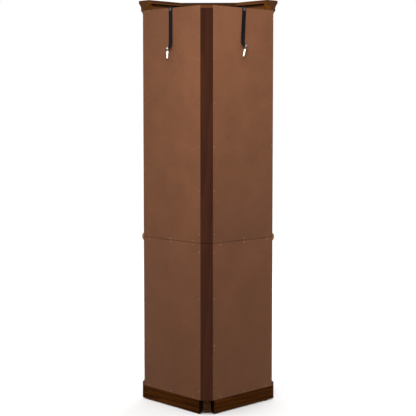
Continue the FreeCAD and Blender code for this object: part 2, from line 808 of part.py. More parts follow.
def make_nails():
    nails = []
    across = (0.12, 0.51, 0.9)
    middle = "board_thickness / 2"
    # Per unit: the panel's low and high edge, how many nails go up each edge, the two boards behind the
    # panel's ends, and the shares of the width at which the upper board is nailed: the straps leave no room
    # for a middle nail under the crown.
    under_crown = "panel_top - roof_thickness / 2"
    units = (
        ("back_plinth_top", "seam_height", 4, f"base_floor - {middle}", f"base_ceiling + {middle}", across),
        ("seam_height", "panel_top", 6, f"seam_height + {middle}", under_crown, across[::2]),
    )
    for side in SIDES:
        inward = (-SIDE_OUT[side][0], -1, 0)
        for low, high, count, floor, roof, top_shares in units:
            span = f"({high}) - ({low}) - 2 * nail_end"
            spots = [
                (along, f"({low}) + nail_end + ({span}) * {n} / {count - 1}")
                for n in range(count)
                for along in ("corner_reach + nail_inset", "wall_length - nail_inset")
            ]
            for level, shares in ((floor, across), (roof, top_shares)):
                for share in shares:
                    spots.append((f"corner_reach + (wall_length - corner_reach) * {share}", level))
            for along, level in spots:
                x, y = wall_point(side, "0 - nail_head", along)
                nails.append(rod(f"nail_{len(nails)}", (x, y, level), inward, "nail_radius", "nail_length"))
    group("panel_nails", nails)


# --- Anti-tip straps ---------------------------------------------------------------------------------

# The strap's route as (out from the wall, down from its screw): straight runs joined by tangent arcs. It
# hangs down the wall, then its end curls out over the wall screw that hangs in it. One strap is a little
# longer than the other.
STRAP_ROUTE = {
    "right": [(1.5, -16), (1.8, 32), (2.6, 84), (3.4, 134), (4.2, 170), (15.0, 185.0), (32.6, 191.0)],
    "left": [(1.5, -16), (1.8, 30), (2.6, 78), (4.0, 125), (4.6, 162), (15.8, 177.2), (33.8, 182.4)],
}
# How far each strap leans along its wall, away from the corner, per millimetre of drop, and its screw.
STRAP_LEAN = {"right": -0.015, "left": -0.08}
SCREW_LEAN = {"right": 0.24, "left": -0.1}
# How far the wall screws hang back towards the wall, per millimetre of drop.
SCREW_BACK = 0.14
# How high the upper knob sits, as a share of its door's height.
KNOB_SHARE = 0.42


def smooth_wire(points):
    """Straight runs joined by tangent arcs as large as the runs allow."""
    edges = []
    here = points[0]
    for before, corner, after in zip(points, points[1:], points[2:]):
        first, second = corner - before, after - corner
        turn = first.getAngle(second)
        cut = 0.45 * min(first.Length, second.Length)
        print(f"strap arc radius {cut / math.tan(turn / 2):.0f} mm")
        enter = corner - V(*first).normalize() * cut
        leave = corner + V(*second).normalize() * cut
        inward = (V(*second).normalize() - V(*first).normalize()).normalize()
        radius = cut / math.tan(turn / 2)
        middle = corner + inward * (radius / math.cos(turn / 2) - radius)
        edges.append(Part.LineSegment(here, enter).toShape())
        edges.append(Part.Arc(enter, middle, leave).toShape())
        here = leave
    edges.append(Part.LineSegment(here, points[-1]).toShape())
    return Part.Wire(edges)


def strap_axes(side):
    """Along the wall, out of the wall and down, with the strap's small lean."""
    turn = math.radians(OUTWARD_TURN[side])
    level = V(math.cos(turn), math.sin(turn), 0)
    lean = STRAP_LEAN[side]
    out = V(*SIDE_OUT[side], 0).normalize()
    return (level + Z_AXIS * lean).normalize(), out, (level * lean - Z_AXIS).normalize()


def make_straps():
    wide, thick = value("strap_width"), value("strap_thickness")
    for side in SIDES:
        along, out, down = strap_axes(side)
        x, y = wall_point(side, "0", "strap_reach")
        screw = V(value(x), value(y), value("panel_top - strap_screw_drop"))
        route = [screw + out * gap + down * drop for gap, drop in STRAP_ROUTE[side]]
        path = smooth_wire(route)
        across = (route[1] - route[0]).normalize().cross(along).normalize()
        corners = [route[0] + along * (a * wide / 2) + across * (b * thick / 2)
                   for a, b in ((-1, -1), (1, -1), (1, 1), (-1, 1), (-1, -1))]
        webbing = path.makePipeShell([Part.makePolygon(corners)], True, False)
        swept = wide * thick * path.Length
        print(f"strap {side}: volume {webbing.Volume:.0f}, section x length {swept:.0f}, "
              f"length {path.Length:.1f}")
        strap = DOCUMENT.addObject("Part::Feature", f"webbing_{side}")
        strap.Shape = webbing
        keep(strap, f"strap_{side}")
        make_anchor(side, route, along, out, down)
    group("strap_screws", [top_screw(side) for side in SIDES])


def top_screw(side):
    """The screw and washer that hold a strap to the roof panel's edge."""
    face = f"{STRAP_ROUTE[side][1][0]} + strap_thickness / 2"
    section = [
        ("0", "0"),
        ("screw_radius", "0"),
        ("screw_radius", "screw_length"),
        ("washer_radius", "screw_length"),
        ("washer_radius", "screw_length + washer_thickness"),
        ("screw_head_radius", "screw_length + washer_thickness"),
        ("screw_head_top", "screw_length + washer_thickness + screw_head_height"),
        ("0", "screw_length + washer_thickness + screw_head_height"),
    ]
    x, y = wall_point(side, f"screw_length - ({face})", "strap_reach")
    level = "panel_top - strap_screw_drop"
    return turned(f"top_screw_{side}", section, x, y, level, (*SIDE_OUT[side], 0))


def make_anchor(side, route, along, out, down):
    """The screw and cup washer that hang in the strap's end, and the wall plug on the screw."""
    tip = (route[-1] - route[-2]).normalize()
    centre = route[-1] - tip * value("anchor_washer_radius")
    level = (along - Z_AXIS * along.z).normalize()
    axis = tuple((down - out * SCREW_BACK + level * SCREW_LEAN[side]).normalize())
    spot = (centre.x, centre.y, centre.z)
    seat = "strap_thickness / 2 + seat_gap"
    screw = turned(f"anchor_{side}", [
        ("0", f"0 - ({seat}) - anchor_washer_height - anchor_head_height"),
        ("anchor_head_radius", f"0 - ({seat}) - anchor_washer_height - anchor_head_height"),
        ("anchor_head_radius", f"0 - ({seat}) - anchor_washer_height"),
        ("anchor_washer_radius", f"0 - ({seat})"),
        ("screw_radius", f"0 - ({seat})"),
        ("screw_radius", "anchor_length"),
        ("0", "anchor_length + screw_radius"),
    ], *spot, axis)
    keep(screw, f"anchor_screw_{side}")
    plug = turned(f"plug_{side}", [
        ("screw_radius", "plug_start"),
        ("plug_collar_radius", "plug_start"),
        ("plug_collar_radius", "plug_start + plug_collar"),
        ("plug_radius", "plug_start + plug_collar"),
        ("plug_tip_radius", "plug_start + plug_length"),
        ("screw_radius", "plug_start + plug_length"),
    ], *spot, axis)
    keep(plug, f"wall_plug_{side}")


make_plinth()
make_boards()
make_side_frames()
make_mouldings()
make_shelves()
make_decks()
make_hinges()
make_catches()
make_doors()
make_drawers()
make_nails()
make_straps()

DOCUMENT.recompute()
failed = [o.Name for o in DOCUMENT.Objects if {"Invalid", "Error"} & set(o.State)]
if failed:
    raise SystemExit(f"failed objects: {failed}")
for part in PARTS:
    if part.Shape.isNull() or not part.Shape.isValid() or not part.Shape.Solids:
        raise SystemExit(f"{part.Label} has no valid solid")
os.makedirs("parts", exist_ok=True)
for part in PARTS:
    part.Shape.exportStep(f"parts/{part.Label}.step")
    print(f"{part.Label}: {len(part.Shape.Solids)} solids, {part.Shape.Volume / 1000:.1f} cm3")
print(f"{len(PARTS)} nodes")
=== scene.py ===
# %% [markdown]
# # A tall corner cabinet, seen from behind
# The cabinet is already designed: every board, hinge and screw comes in as a fixed frame with its real size.
# Blender's job here is how it looks. We keep the boards where they are, give each a stained, painted or
# metal finish, and model the pieces that a plain solid can't show: the woven straps, the nail heads, the
# glazing beads, the raised panel, the ring rolls and the little screws.

# %% Load the frame
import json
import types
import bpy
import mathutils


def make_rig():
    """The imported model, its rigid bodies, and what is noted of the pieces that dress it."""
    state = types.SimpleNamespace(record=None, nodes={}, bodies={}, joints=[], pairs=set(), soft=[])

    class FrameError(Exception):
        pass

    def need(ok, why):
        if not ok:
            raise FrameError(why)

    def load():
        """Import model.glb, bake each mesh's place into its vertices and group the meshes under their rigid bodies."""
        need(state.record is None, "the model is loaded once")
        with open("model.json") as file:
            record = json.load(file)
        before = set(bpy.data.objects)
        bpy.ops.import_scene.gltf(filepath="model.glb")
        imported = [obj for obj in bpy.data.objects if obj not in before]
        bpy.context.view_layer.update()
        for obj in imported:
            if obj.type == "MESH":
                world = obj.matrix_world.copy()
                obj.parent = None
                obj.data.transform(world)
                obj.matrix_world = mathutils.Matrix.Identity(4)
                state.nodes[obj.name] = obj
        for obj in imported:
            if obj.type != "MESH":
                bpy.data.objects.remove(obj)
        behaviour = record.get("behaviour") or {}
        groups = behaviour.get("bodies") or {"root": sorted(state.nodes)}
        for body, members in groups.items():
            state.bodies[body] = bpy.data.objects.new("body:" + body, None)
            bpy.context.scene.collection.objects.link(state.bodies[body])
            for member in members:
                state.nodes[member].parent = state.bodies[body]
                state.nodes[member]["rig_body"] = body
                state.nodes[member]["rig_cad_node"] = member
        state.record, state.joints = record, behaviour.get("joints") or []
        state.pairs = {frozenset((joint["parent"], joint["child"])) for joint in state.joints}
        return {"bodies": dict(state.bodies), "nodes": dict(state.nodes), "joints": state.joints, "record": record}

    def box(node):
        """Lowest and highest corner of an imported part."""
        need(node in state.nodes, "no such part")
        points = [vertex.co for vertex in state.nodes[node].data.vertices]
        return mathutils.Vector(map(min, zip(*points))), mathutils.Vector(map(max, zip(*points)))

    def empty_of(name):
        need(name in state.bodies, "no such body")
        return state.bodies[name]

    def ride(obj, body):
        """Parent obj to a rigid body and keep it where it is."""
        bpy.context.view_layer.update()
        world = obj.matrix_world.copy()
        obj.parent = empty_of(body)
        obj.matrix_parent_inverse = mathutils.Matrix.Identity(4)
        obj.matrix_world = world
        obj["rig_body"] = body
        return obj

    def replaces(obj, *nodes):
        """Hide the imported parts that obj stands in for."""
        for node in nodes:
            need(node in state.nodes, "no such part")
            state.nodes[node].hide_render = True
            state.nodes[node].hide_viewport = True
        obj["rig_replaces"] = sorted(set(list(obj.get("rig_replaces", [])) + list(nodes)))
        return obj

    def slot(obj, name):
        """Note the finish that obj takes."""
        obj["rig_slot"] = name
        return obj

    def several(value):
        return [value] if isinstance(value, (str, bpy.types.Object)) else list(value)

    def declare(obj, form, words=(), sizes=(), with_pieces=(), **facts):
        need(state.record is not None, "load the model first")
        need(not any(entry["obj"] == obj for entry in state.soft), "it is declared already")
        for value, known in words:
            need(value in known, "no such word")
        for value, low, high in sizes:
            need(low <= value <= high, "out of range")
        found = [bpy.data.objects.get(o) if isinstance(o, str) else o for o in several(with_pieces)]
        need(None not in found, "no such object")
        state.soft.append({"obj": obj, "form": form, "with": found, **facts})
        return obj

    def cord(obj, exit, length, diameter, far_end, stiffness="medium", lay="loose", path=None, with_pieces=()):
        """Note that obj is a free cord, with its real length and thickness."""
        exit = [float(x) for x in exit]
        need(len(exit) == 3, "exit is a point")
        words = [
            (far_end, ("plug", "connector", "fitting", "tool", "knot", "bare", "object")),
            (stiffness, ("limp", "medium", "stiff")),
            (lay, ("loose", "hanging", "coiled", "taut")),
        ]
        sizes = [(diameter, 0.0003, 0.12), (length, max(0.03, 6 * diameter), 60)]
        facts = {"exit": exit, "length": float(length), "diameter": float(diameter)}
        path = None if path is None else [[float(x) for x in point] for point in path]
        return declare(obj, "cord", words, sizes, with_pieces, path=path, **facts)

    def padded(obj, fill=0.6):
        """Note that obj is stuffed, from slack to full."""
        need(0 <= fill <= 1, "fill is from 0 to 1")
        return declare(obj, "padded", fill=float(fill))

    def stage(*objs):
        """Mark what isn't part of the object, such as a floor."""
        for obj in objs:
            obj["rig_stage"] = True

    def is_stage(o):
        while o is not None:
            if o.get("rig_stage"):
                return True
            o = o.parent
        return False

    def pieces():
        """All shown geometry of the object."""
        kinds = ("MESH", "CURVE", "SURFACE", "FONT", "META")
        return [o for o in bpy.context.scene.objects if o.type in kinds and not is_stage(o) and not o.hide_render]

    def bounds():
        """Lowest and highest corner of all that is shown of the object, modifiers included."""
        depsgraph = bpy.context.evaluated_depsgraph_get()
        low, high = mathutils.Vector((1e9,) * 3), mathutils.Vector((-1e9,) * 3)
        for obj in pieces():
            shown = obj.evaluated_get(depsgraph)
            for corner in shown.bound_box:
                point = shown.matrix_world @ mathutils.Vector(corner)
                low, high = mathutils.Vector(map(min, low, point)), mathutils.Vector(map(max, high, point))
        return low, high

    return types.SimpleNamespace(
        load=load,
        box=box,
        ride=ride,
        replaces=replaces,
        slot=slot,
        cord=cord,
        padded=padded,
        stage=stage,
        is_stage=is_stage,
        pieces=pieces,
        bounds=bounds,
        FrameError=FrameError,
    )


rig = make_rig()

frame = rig.load()
cad_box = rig.bounds()

# %% Names for the tools used below
import json
import math

import bmesh
import bpy
from mathutils import Matrix, Vector

MM = 0.001
WELD_REACH = 0.00001
UP = Vector((0, 0, 1))
SIDES = {"left": -1, "right": 1}
nodes = frame["nodes"]
print("pieces in the frame:", len(nodes))

# %% [markdown]
# The plan of the cabinet is a square standing on one corner, with that corner cut off at the back and a
# wider cut at the front. So there are two kinds of direction: straight ones for the front, and ones at 45
# degrees for the two wall panels and the two side returns. We read the places from the frame's own boxes
# and name the directions once, as left and right seen from the front.

# %% Directions and planes
panel_low, panel_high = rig.box("upper_back_panel_right")
OUT = {side: Vector((sign, 1, 0)).normalized() for side, sign in SIDES.items()}
ALONG = {side: Vector((sign, -1, 0)).normalized() for side, sign in SIDES.items()}
PANEL = 4 * MM
WALL_SUM = panel_high.x + panel_low.y + PANEL * math.sqrt(0.5)
FRONT_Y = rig.box("upper_header_rail")[0].y
POST_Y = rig.box("upper_back_post")[1].y
WALL_END = Vector((panel_high.x, WALL_SUM - panel_high.x, 0))
CORNER_X = WALL_END.x - (WALL_END.y - FRONT_Y)


def wall_spot(side, depth, along, z):
    """A point given inwards from a side's wall plane and along it from where the two walls would meet."""
    corner = Vector((0, WALL_SUM, z))
    return corner + ALONG[side] * along - OUT[side] * depth


print("wall planes meet at y =", round(WALL_SUM, 4), "and the front is at y =", round(FRONT_Y, 4))

# %% [markdown]
# Most pieces below start as a simple shape in a bmesh, so a few short helpers keep the lesson readable.
# `finish` turns a bmesh into an object that sits at the origin with its place in its mesh, gives it a
# material and lets it ride on a body of the cabinet. `add_cube` is a cube pulled to size with softly
# bevelled edges, the way a sanded board is.

# %% Mesh helpers
def finish(name, shape, material, body, smooth=False):
    """An object of a finished bmesh, riding on a body."""
    bmesh.ops.recalc_face_normals(shape, faces=shape.faces)
    mesh = bpy.data.meshes.new(name)
    shape.to_mesh(mesh)
    shape.free()
    mesh.materials.append(material)
    if smooth:
        mesh.shade_smooth()
    piece = bpy.data.objects.new(name, mesh)
    bpy.context.scene.collection.objects.link(piece)
    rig.ride(piece, body)
    return piece


def soften(shape, edges, width, segments=2):
    """Round some edges of a bmesh."""
    bmesh.ops.bevel(
        shape, geom=list(edges), offset=width, segments=segments, profile=0.5,
        affect="EDGES", material=-1, clamp_overlap=True,
    )


def add_cube(shape, low, high, width, turn=None):
    """A board between two corners with its edges rounded; turn places it."""
    block = bmesh.new()
    size = [b - a for a, b in zip(low, high)]
    middle = Vector([(a + b) / 2 for a, b in zip(low, high)])
    bmesh.ops.create_cube(block, size=1, matrix=Matrix.Translation(middle) @ Matrix.Diagonal((*size, 1)))
    if width:
        soften(block, block.edges, width)
    if turn:
        bmesh.ops.transform(block, matrix=turn, verts=block.verts)
    join(shape, block)


def join(shape, other):
    """Move one bmesh into another."""
    mesh = bpy.data.meshes.new("joined")
    other.to_mesh(mesh)
    other.free()
    shape.from_mesh(mesh)
    bpy.data.meshes.remove(mesh)


def turned(profile, steps=32):
    """A turned shape: (radius, height) pairs spun round the Z axis."""
    shape = bmesh.new()
    ring = [shape.verts.new((radius, 0, height)) for radius, height in profile]
    line = [shape.edges.new(pair) for pair in zip(ring, ring[1:])]
    bmesh.ops.spin(
        shape, geom=ring + line, cent=(0, 0, 0), axis=(0, 0, 1), angle=math.tau, steps=steps, use_merge=True,
    )
    bmesh.ops.remove_doubles(shape, verts=shape.verts, dist=WELD_REACH)
    return shape


def aim(spot, direction):
    """The matrix that carries the Z axis onto a direction at a spot."""
    return Matrix.Translation(spot) @ direction.to_track_quat("Z", "Y").to_matrix().to_4x4()


def solids_of(node):
    """The separate solids of a frame node, as lists of their points."""
    shape = bmesh.new()
    shape.from_mesh(nodes[node].data)
    bmesh.ops.remove_doubles(shape, verts=shape.verts, dist=WELD_REACH)
    left = set(shape.verts)
    found = []
    while left:
        stack, solid = [left.pop()], []
        while stack:
            vert = stack.pop()
            solid.append(vert.co.copy())
            for edge in vert.link_edges:
                other = edge.other_vert(vert)
                if other in left:
                    left.remove(other)
                    stack.append(other)
        found.append(solid)
    shape.free()
    return found


def middle_of(points):
    """The centre of the box round some points."""
    return Vector([(min(p[i] for p in points) + max(p[i] for p in points)) / 2 for i in range(3)])


# %% [markdown]
# ## The camera
# The cabinet is shown from behind, from a little above its middle, through a long lens. The camera tips
# down by only four degrees, so the tall upright edges stay nearly parallel, and a touch of rising front (the
# lens shift) does the rest.

# %% Camera
camera_data = bpy.data.cameras.new("camera")
camera_data.sensor_width = 36
camera_data.lens = 95.27
camera_data.shift_y = -0.044
camera_data.clip_end = 60
camera = bpy.data.objects.new("camera", camera_data)
camera.location = (-0.1188, 5.3865, 1.45)
camera.rotation_euler = (math.radians(90) - 0.0729, 0, math.radians(180) + 0.0219)
bpy.context.scene.collection.objects.link(camera)
bpy.context.scene.camera = camera

# %% [markdown]
# ## The anti-tip straps
# A corner cabinet is tall and light, so it is tied to the wall. Each strap is 25 mm webbing screwed to the
# roof board. It hangs free until the cabinet is set up, with its wall screw and plug in its other end. The
# route is the line that the middle of the webbing follows. A smooth spline through it gives the line, and a
# flat ribbon is laid along that line.

# %% Strap routes
STRAP_WIDE = 25 * MM
STRAP_THICK = 1.6 * MM
STRAP_REACH = 247 * MM
SCREW_DROP = 6.5 * MM
# (out from the wall, down from the screw), in millimetres.
ROUTE = {
    "right": [(1.5, -16), (1.8, 32), (2.6, 84), (3.4, 134), (4.2, 170), (15.0, 185.0), (32.6, 191.0)],
    "left": [(1.5, -16), (1.8, 30), (2.6, 78), (4.0, 125), (4.6, 162), (15.8, 177.2), (33.8, 182.4)],
}
LENGTH = {"right": 0.222, "left": 0.214}
LEAN = {"right": -0.015, "left": -0.08}
SCREW_LEAN = {"right": 0.24, "left": -0.1}
PANEL_TOP = panel_high.z


def strap_axes(side):
    """Along the wall, out of it and down, with the strap's small lean."""
    lean = LEAN[side]
    return (ALONG[side] + UP * lean).normalized(), OUT[side], (ALONG[side] * lean - UP).normalized()


def strap_line(side):
    """The route's points and the smooth line that they steer."""
    along, out, down = strap_axes(side)
    screw = wall_spot(side, 0, STRAP_REACH, PANEL_TOP - SCREW_DROP)
    route = [screw + out * (gap * MM) + down * (drop * MM) for gap, drop in ROUTE[side]]
    data = bpy.data.curves.new(f"route_{side}", "CURVE")
    data.dimensions = "3D"
    data.resolution_u = 8
    spline = data.splines.new("NURBS")
    spline.points.add(len(route) - 1)
    for point, place in zip(spline.points, route):
        point.co = (*place, 1)
    spline.order_u = 3
    spline.use_endpoint_u = True
    curve = bpy.data.objects.new(f"route_{side}", data)
    mesh = bpy.data.meshes.new_from_object(curve)
    line = [vert.co.copy() for vert in mesh.vertices]
    bpy.data.objects.remove(curve)
    bpy.data.curves.remove(data)
    bpy.data.meshes.remove(mesh)
    return route, line


ROUTES = {side: strap_line(side) for side in SIDES}
for side, (route, line) in ROUTES.items():
    reach = sum((b - a).length for a, b in zip(line, line[1:]))
    print(f"{side} strap: {len(route)} route points, {reach * 1000:.0f} mm long")

# %% [markdown]
# ## The studio
# A wide pale floor, a plain white surround, one broad light high behind the cabinet and a weaker one in
# front. The broad light hangs near the top of the cabinet, so the finish is lightest there and grows deeper
# towards the floor, as it does on a tall piece in a real studio.

# %% Floor and lights
FLOOR_REACH = 30
floor_shape = bmesh.new()
bmesh.ops.create_grid(floor_shape, x_segments=1, y_segments=1, size=FLOOR_REACH)
floor_mesh = bpy.data.meshes.new("floor")
floor_shape.to_mesh(floor_mesh)
floor_shape.free()
floor = bpy.data.objects.new("floor", floor_mesh)
bpy.context.scene.collection.objects.link(floor)
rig.stage(floor)


def add_light(name, spot, target, size, power):
    """A square soft light that looks at a target."""
    data = bpy.data.lights.new(name, "AREA")
    data.shape = "RECTANGLE"
    data.size, data.size_y = size
    data.energy = power
    light = bpy.data.objects.new(name, data)
    light.location = spot
    light.rotation_euler = (Vector(target) - Vector(spot)).to_track_quat("-Z", "Y").to_euler()
    bpy.context.scene.collection.objects.link(light)
    return light


back_light = add_light("high_back_light", (0.08, 3.0, 2.9), (0, 0, 1.75), (1.6, 1.0), 17)
back_light.data.spread = math.radians(52)
back_light.visible_glossy = False
add_light("front_light", (-1.6, -3.6, 3.0), (0, 0, 1.1), (2.6, 2.6), 40)
sun_data = bpy.data.lights.new("sky_light", "SUN")
sun_data.energy = 2.25
sun_data.angle = math.radians(70)
sun = bpy.data.objects.new("sky_light", sun_data)
sun.rotation_euler = (math.radians(-12), math.radians(6), 0)
bpy.context.scene.collection.objects.link(sun)

world = bpy.data.worlds.new("studio")
world.use_nodes = True
surround = world.node_tree
backdrop = surround.nodes["Background"]
backdrop.inputs["Color"].default_value = (1, 1, 1, 1)
backdrop.inputs["Strength"].default_value = 1.0
room = surround.nodes.new("ShaderNodeBackground")
room.inputs["Color"].default_value = (1, 0.985, 0.965, 1)
room.inputs["Strength"].default_value = 0.42
seen = surround.nodes.new("ShaderNodeLightPath")
either = surround.nodes.new("ShaderNodeMixShader")
surround.links.new(seen.outputs["Is Camera Ray"], either.inputs["Fac"])
surround.links.new(room.outputs[0], either.inputs[1])
surround.links.new(backdrop.outputs[0], either.inputs[2])
surround.links.new(either.outputs[0], surround.nodes["World Output"].inputs["Surface"])
bpy.context.scene.world = world
bpy.context.scene.view_settings.view_transform = "Standard"

# %% [markdown]
# ## Finishes
# Every finish is built from noise and simple sums on the piece's own coordinates, at real scale. A small
# class keeps the node code short: `add` makes a node and feeds its sockets, and the other helpers make the
# few things that we do again and again.

# %% A short way to write shader nodes
def tone(red, green, blue):
    """A screen colour (0 to 255) as the linear colour that a shader takes."""
    def linear(part):
        share = part / 255
        return share / 12.92 if share < 0.04045 else ((share + 0.055) / 1.055) ** 2.4
    return (linear(red), linear(green), linear(blue), 1)


class Finish:
    """A material and its nodes."""

    def __init__(self, name, roughness=0.5, **settings):
        self.material = bpy.data.materials.new(name)
        self.material.use_nodes = True
        self.tree = self.material.node_tree
        self.shader = self.tree.nodes["Principled BSDF"]
        self.shader.inputs["Roughness"].default_value = roughness
        for socket, number in settings.items():
            self.shader.inputs[socket.replace("_", " ").title().replace("Ior", "IOR")].default_value = number
        self.place = self.add("TexCoord").outputs["Object"]

    def add(self, kind, feeds=None, **settings):
        """A node with its settings made and its sockets fed by numbers or by other sockets."""
        made = self.tree.nodes.new(f"ShaderNode{kind}")
        for key, setting in settings.items():
            setattr(made, key, setting)
        for socket, source in (feeds or {}).items():
            self.feed(made.inputs[socket], source)
        return made

    def feed(self, socket, source):
        """Feed a socket with another socket or with a constant."""
        if isinstance(source, bpy.types.NodeSocket):
            self.tree.links.new(source, socket)
        else:
            socket.default_value = source

    def set(self, **feeds):
        """Feed sockets of the shader itself."""
        for socket, source in feeds.items():
            self.feed(self.shader.inputs[socket.replace("_", " ")], source)

    def sum(self, kind, first, second=0.0, third=0.0):
        """One math node."""
        return self.add("Math", {0: first, 1: second, 2: third}, operation=kind).outputs[0]

    def scaled(self, vector, scale, shift=(0, 0, 0)):
        """A vector stretched along its axes and moved."""
        return self.add("Mapping", {"Vector": vector, "Scale": scale, "Location": shift}).outputs[0]

    def noise(self, vector, scale, detail=3.0, rough=0.5, distort=0.0):
        """Soft noise from 0 to 1."""
        feeds = {"Vector": vector, "Scale": scale, "Detail": detail, "Roughness": rough, "Distortion": distort}
        return self.add("TexNoise", feeds).outputs["Fac"]

    def between(self, source, low, high, out_low=0.0, out_high=1.0):
        """A range of a value stretched to another range, and clamped."""
        feeds = {"Value": source, "From Min": low, "From Max": high, "To Min": out_low, "To Max": out_high}
        return self.add("MapRange", feeds, clamp=True).outputs[0]

    def ramp(self, source, *stops):
        """A colour that changes with a value: stops are (value, colour)."""
        made = self.add("ValToRGB", {"Fac": source})
        points = made.color_ramp.elements
        while len(points) < len(stops):
            points.new(0.5)
        for point, (spot, colour) in zip(points, stops):
            point.position = spot
            point.color = colour
        return made.outputs["Color"]

    def mix(self, share, first, second, kind="MIX"):
        """Two colours mixed by a share."""
        made = self.add("Mix", data_type="RGBA", blend_type=kind)
        for socket, source in zip((made.inputs[0], made.inputs[6], made.inputs[7]), (share, first, second)):
            self.feed(socket, source)
        return made.outputs[2]

    def bump(self, height, strength, distance, under=None):
        """Fine relief, given in metres."""
        feeds = {"Height": height, "Strength": strength, "Distance": distance}
        if under is not None:
            feeds["Normal"] = under
        return self.add("Bump", feeds).outputs["Normal"]

    def choose(self, share, first, second):
        """The second vector where share is one, and else the first."""
        made = self.add("Mix", data_type="VECTOR")
        for socket, source in zip((made.inputs[0], made.inputs[4], made.inputs[5]), (share, first, second)):
            self.feed(socket, source)
        return made.outputs[1]

    def parts(self, vector):
        """The three numbers of a vector."""
        return self.add("SeparateXYZ", {0: vector}).outputs

    def vector(self, x, y, z):
        """A vector of three numbers."""
        return self.add("CombineXYZ", {0: x, 1: y, 2: z}).outputs[0]


# %% [markdown]
# Wood grain has to run along each board. The boards of this cabinet run four ways: up, across the front,
# along the 45 degree walls, and round the mitred mouldings, which change direction at the front corners.
# `grain_line` returns coordinates whose first number always runs along the board. The two halves of the
# cabinet mirror each other, so it works on the distance from the middle and shifts one half's pattern.

# %% Which way the grain runs
HALF_TURN = math.sqrt(0.5)
DOOR_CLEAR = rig.box("upper_door_glass")[1].x


def extent(points, direction):
    """The lowest and highest reach of some points along a direction."""
    reach = [point.dot(direction) for point in points]
    return min(reach), max(reach)


side_panes = {"left" if middle_of(points).x < 0 else "right": points for points in solids_of("side_glass")}
SIDE_CLEAR = extent(side_panes["right"], OUT["right"])
print("side panes reach from", [round(reach, 3) for reach in SIDE_CLEAR], "m along the side")




def grain_line(finish, grain):
    """Coordinates that run along a board, then across it twice."""
    x, y, z = finish.parts(finish.place)
    if grain == "up":
        return finish.vector(z, x, y)
    if grain == "across":
        return finish.vector(x, y, z)
    if grain == "depth":
        return finish.vector(y, x, z)
    away = finish.sum("ABSOLUTE", x)
    if grain == "door":
        rail = finish.sum("LESS_THAN", away, DOOR_CLEAR)
        return finish.choose(rail, finish.vector(z, x, y), finish.vector(x, z, y))
    side = finish.sum("SIGN", x)
    level = finish.sum("MULTIPLY_ADD", side, 3.1, z)
    wall = finish.sum("MULTIPLY", finish.sum("SUBTRACT", away, y), HALF_TURN)
    inward = finish.sum("MULTIPLY", finish.sum("ADD", away, y), HALF_TURN)
    if grain == "walls":
        return finish.vector(wall, inward, level)
    if grain == "returns":
        return finish.vector(inward, wall, level)
    if grain == "side frame":
        low, high = SIDE_CLEAR
        rail = finish.sum("LESS_THAN", finish.sum("ABSOLUTE", finish.sum("SUBTRACT", inward, (low + high) / 2)),
                          (high - low) / 2)
        return finish.choose(rail, finish.vector(level, inward, wall), finish.vector(inward, level, wall))
    mitre = finish.sum("MULTIPLY_ADD", finish.sum("SUBTRACT", away, CORNER_X), math.cos(math.pi / 8),
                       finish.sum("MULTIPLY", finish.sum("SUBTRACT", y, FRONT_Y), math.sin(math.pi / 8)))
    on_side = finish.sum("GREATER_THAN", mitre, 0.0)
    return finish.choose(on_side, finish.vector(x, y, z), finish.vector(inward, wall, level))
